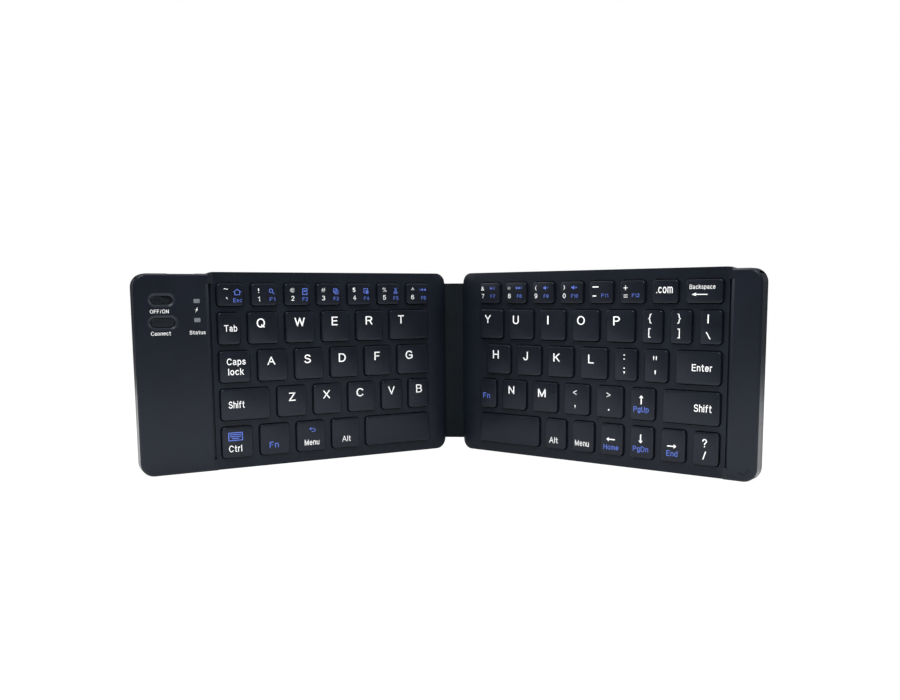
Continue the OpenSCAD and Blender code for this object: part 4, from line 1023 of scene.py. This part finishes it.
def screwTree():
    # a flat-headed screw with a cross recess, set at each point of the mesh it is given
    tree, given = newTree("screws", "Head radius", "Head depth", "Shank radius", "Length", "Cross width",
                          "Cross length", "Cross depth")
    rods = []
    for steps, radius, depth in (("head", "Head radius", "Head depth"), ("shank", "Shank radius", "Length")):
        rod = put(tree, "GeometryNodeMeshCylinder", {"Vertices": curveSteps[steps], "Radius": given[radius],
                  "Depth": given[depth]})
        rise = put(tree, "ShaderNodeMath", {0: given[depth], 1: 0.5}, operation="MULTIPLY")
        up = put(tree, "ShaderNodeCombineXYZ", {"Z": rise})
        rods.append(put(tree, "GeometryNodeTransform", {"Geometry": rod, "Translation": up}))
    cutters = []
    for x, y in (("Cross length", "Cross width"), ("Cross width", "Cross length")):
        size = put(tree, "ShaderNodeCombineXYZ", {"X": given[x], "Y": given[y], "Z": given["Cross depth"]})
        cutters.append(put(tree, "GeometryNodeMeshCube", {"Size": size}))
    cutter = put(tree, "GeometryNodeMeshBoolean", {"Mesh 2": cutters}, operation="UNION")
    head = put(tree, "GeometryNodeMeshBoolean", {"Mesh 1": rods[0], "Mesh 2": [cutter]}, operation="DIFFERENCE")
    return endAtPoints(tree, put(tree, "GeometryNodeJoinGeometry", {"Geometry": [head, rods[1]]}), given)


def footTree():
    # a round foot with a rounded rim, set at each point of the mesh it is given
    tree, given = newTree("feet", "Radius", "Height", "Sunk", "Rounding")
    shoulder = put(tree, "ShaderNodeMath", {0: given["Rounding"], 1: given["Height"]}, operation="SUBTRACT")
    flat = put(tree, "ShaderNodeMath", {0: given["Radius"], 1: given["Rounding"]}, operation="SUBTRACT")
    outside = put(tree, "ShaderNodeMath", {0: 0.0, 1: given["Height"]}, operation="SUBTRACT")
    circle = put(tree, "GeometryNodeCurvePrimitiveCircle", {"Resolution": curveSteps["foot"],
                 "Radius": given["Radius"]})
    lines = [rounding(tree, given["Rounding"], -math.pi / 2, shoulder)]
    parts = [sweep(tree, circle, lines + chain(tree, (0.0, shoulder), (0.0, given["Sunk"])))]
    for radius, height in ((flat, outside), (given["Radius"], given["Sunk"])):
        edge = put(tree, "GeometryNodeCurvePrimitiveCircle", {"Resolution": curveSteps["foot"], "Radius": radius})
        disc = put(tree, "GeometryNodeFillCurve", {"Curve": edge}, mode="NGONS")
        up = put(tree, "ShaderNodeCombineXYZ", {"Z": height})
        parts.append(put(tree, "GeometryNodeTransform", {"Geometry": disc, "Translation": up}))
    whole = put(tree, "GeometryNodeJoinGeometry", {"Geometry": parts})
    closed = put(tree, "GeometryNodeMergeByDistance", {"Geometry": whole, "Distance": mergeWithin * mm})
    return endAtPoints(tree, closed, given)


def pointMesh(side, places):
    mesh = bpy.data.meshes.new("places")
    mesh.from_pydata([Vector((side * x, y, 0)) * mm for x, y in places], [], [])
    return mesh


screws = screwTree()
feet = footTree()
f, g = fixings, footing
screwSizes = {"Head radius": f["headRadius"], "Head depth": f["headDepth"], "Shank radius": f["shank"],
              "Length": f["length"], "Cross width": f["cross"], "Cross length": f["crossLength"],
              "Cross depth": 2 * f["crossDepth"]}
footSizes = {"Radius": g["radius"], "Height": g["height"], "Sunk": g["sunk"], "Rounding": g["round"]}
for side, name in sideName.items():
    spots = [(x, y) for x in (f["deckX"], half["keyEnd"][side] - f["fieldInset"]) for y in (-f["bossY"], f["bossY"])]
    spots += [(half["length"] - f["capInset"], y) for y in (-f["capY"], f["capY"])]
    mesh = runTree(screws, screwSizes, "screwSteel", pointMesh(side, spots))
    mesh.transform(face[side])
    mesh = smoothBy(mesh, sharpFrom["shell"])
    finishPiece(name + "Screws", mesh, name + "_half", [name + "_screws"])
    spots = [(x, y) for x in (g["x"], half["length"] - g["inset"]) for y in (-g["y"], g["y"])]
    mesh = outwards(runTree(feet, footSizes, "footRubber", pointMesh(side, spots)))
    mesh.transform(face[side])
    finishPiece(name + "Feet", smoothBy(mesh, sharpFrom["rubber"]), name + "_half", [name + "_feet"])
print("screws and feet made")

# Slider, button and lamp windows. A plate is its length, width, lower and upper face and the rounding of its edges.
slider = {"x": 144.4, "y": 32.6, "width": 5.2, "depth": 3.4, "corner": 1.69, "edge": 0.3, "flare": 0.0, "top": 7.3,
          "bottom": 6.5, "ceiling": 6.8, "wall": 0.7, "plate": (13.2, 4.8, 5.7, 6.5, 0.12),
          "fork": (2.0, 1.4, 5.5, 5.75, 0.05), "rib": (0.3, 2.2, 7.1, 7.52, 0.1), "ribs": 5, "ribPitch": 0.62}
button = {"x": 142.4, "y": 22.7, "width": 10.2, "depth": 3.9, "corner": 1.94, "edge": 0.35, "flare": 0.0, "top": 7.3,
          "bottom": 6.5, "ceiling": 6.8, "wall": 0.7, "plate": (12.0, 5.6, 5.9, 6.5, 0.12), "stem": 1.0,
          "stemLength": 0.8, "stemFoot": 5.12}
windows = {"x": 127.6, "y": (32.1, 23.7), "width": 2.8, "depth": 1.8, "corner": 0.45, "edge": 0.12, "flare": 0.0,
           "top": 7.96, "bottom": 4.3, "ceiling": 4.4, "wall": 0.5}


def slab(length, width, low, high, edge):
    built = bmesh.new()
    bmesh.ops.create_cube(built, size=1.0, matrix=Matrix.Translation((0, 0, (low + high) / 2 * mm))
                          @ Matrix.Diagonal((length * mm, width * mm, (high - low) * mm, 1)))
    bmesh.ops.bevel(built, geom=built.edges[:], offset=edge * mm, segments=3, profile=0.5, affect="EDGES")
    return smoothBy(meshFrom(built, "slab"), sharpFrom["cap"])


c = slider
shapes = [(smoothBy(capShape(c, "controlAbs"), sharpFrom["cap"]), 0)]
shapes += [(slab(*c["rib"]), (i - (c["ribs"] - 1) / 2) * c["ribPitch"]) for i in range(c["ribs"])]
shapes += [(slab(*c["plate"]), 0), (slab(*c["fork"]), 0)]
parts = [(mesh, at(-1, c["x"] + shift, c["y"]), "controlAbs") for mesh, shift in shapes]
finishPiece("powerSlider", joined("powerSlider", parts, ["controlAbs"]), "power_slider", ["power_slider"])

c = button
stem = post(c["stem"], c["stem"], c["stemLength"], "controlAbs")
parts = [(mesh, at(-1, c["x"], c["y"], z), "controlAbs")
         for mesh, z in ((capShape(c, "controlAbs"), 0), (slab(*c["plate"]), 0), (stem, c["stemFoot"]))]
mesh = smoothBy(joined("connectButton", parts, ["controlAbs"]), sharpFrom["cap"])
finishPiece("connectButton", mesh, "connect_button", ["connect_button"])

lens = capShape(windows, "windowAcrylic")
parts = [(lens, at(-1, windows["x"], y), "windowAcrylic") for y in windows["y"]]
mesh = smoothBy(joined("lampWindows", parts, ["windowAcrylic"]), sharpFrom["cap"])
finishPiece("lampWindows", mesh, "left_half", ["light_windows"])
print("controls made")

# Floor, light and camera
room = {"floor": "#f4f4f4", "x": (-0.4, 0.4), "y": (-0.28, 0.6), "shown": 0.9, "glow": 1.06, "worldLight": 0.04}
left, right = room["x"]
near, far = room["y"]
built = bmesh.new()
built.faces.new([built.verts.new((x, y, 0)) for x, y in ((left, near), (right, near), (right, far), (left, far))])
floorMesh = meshFrom(built, "floor")
floor = link("floor", floorMesh)
paper, tree = startMaterial("paperFloor")[:2]
ray = put(tree, "ShaderNodeLightPath")
plain = put(tree, "ShaderNodeBsdfDiffuse", {"Color": linear(room["floor"])})
bright = put(tree, "ShaderNodeEmission", {"Color": (1, 1, 1, 1), "Strength": room["glow"]})
share = put(tree, "ShaderNodeMath", {0: ray.outputs["Is Camera Ray"], 1: room["shown"]}, operation="MULTIPLY")
blended = put(tree, "ShaderNodeMixShader", {0: share, 1: plain, 2: bright})
put(tree, "ShaderNodeOutputMaterial", {"Surface": blended})
floorMesh.materials.append(paper)

world = bpy.data.worlds.new("studio")
bpy.context.scene.world = world
world.use_nodes = True
tree = world.node_tree
tree.nodes.clear()
ray = put(tree, "ShaderNodeLightPath")
soft = put(tree, "ShaderNodeBackground", {"Color": (1, 1, 1, 1), "Strength": room["worldLight"]})
seen = put(tree, "ShaderNodeBackground", {"Color": (1, 1, 1, 1), "Strength": 1.0})
mixed = put(tree, "ShaderNodeMixShader", {0: ray.outputs["Is Camera Ray"], 1: soft, 2: seen})
put(tree, "ShaderNodeOutputWorld", {"Surface": mixed})

lamps = {
    # a wide soft box overhead and a little behind: it lights the floor and draws the bright line on rear edges
    "overhead": {"at": (0.0, 0.3, 0.9), "to": (0, 0, 0.0), "size": (1.6, 0.5), "power": 10.0},
    # one high in front, for the lettering
    "front": {"at": (0.0, -0.9, 1.3), "to": (0, 0, 0.05), "size": (0.6, 0.6), "power": 29.0},
    # soft boxes at the two sides
    "right": {"at": (1.3, 0.1, 0.5), "to": (0.1, 0, 0.05), "size": (0.8, 0.8), "power": 7.0},
    "left": {"at": (-1.3, 0.0, 0.5), "to": (-0.1, 0, 0.05), "size": (0.8, 0.8), "power": 8.5},
}
for name, s in lamps.items():
    light = bpy.data.lights.new(name, "AREA")
    light.shape = "RECTANGLE"
    light.size, light.size_y = s["size"]
    light.energy = s["power"]
    lamp = bpy.data.objects.new(name, light)
    lamp.location = s["at"]
    lamp.rotation_euler = (Vector(s["to"]) - Vector(s["at"])).to_track_quat("-Z", "Y").to_euler()
    bpy.context.scene.collection.objects.link(lamp)

view = {"at": (32.6, -414.0, 78.3), "down": 6.744, "left": 4.39, "tilt": -0.4, "lens": 35.31, "sensor": 36,
        "rise": 0.0566}
camera = bpy.data.cameras.new("camera")
camera.lens = view["lens"]
camera.sensor_width = view["sensor"]
camera.sensor_fit = "HORIZONTAL"
camera.shift_y = view["rise"]
cameraObject = bpy.data.objects.new("camera", camera)
cameraObject.location = Vector(view["at"]) * mm
turns = ((view["left"], "Z"), (90 - view["down"], "X"), (view["tilt"], "Z"))
first, second, third = (Matrix.Rotation(math.radians(angle), 4, axis) for angle, axis in turns)
cameraObject.rotation_euler = (first @ second @ third).to_euler()
bpy.context.scene.collection.objects.link(cameraObject)
bpy.context.scene.camera = cameraObject
bpy.context.scene.view_settings.view_transform = "Standard"
print("stage set")
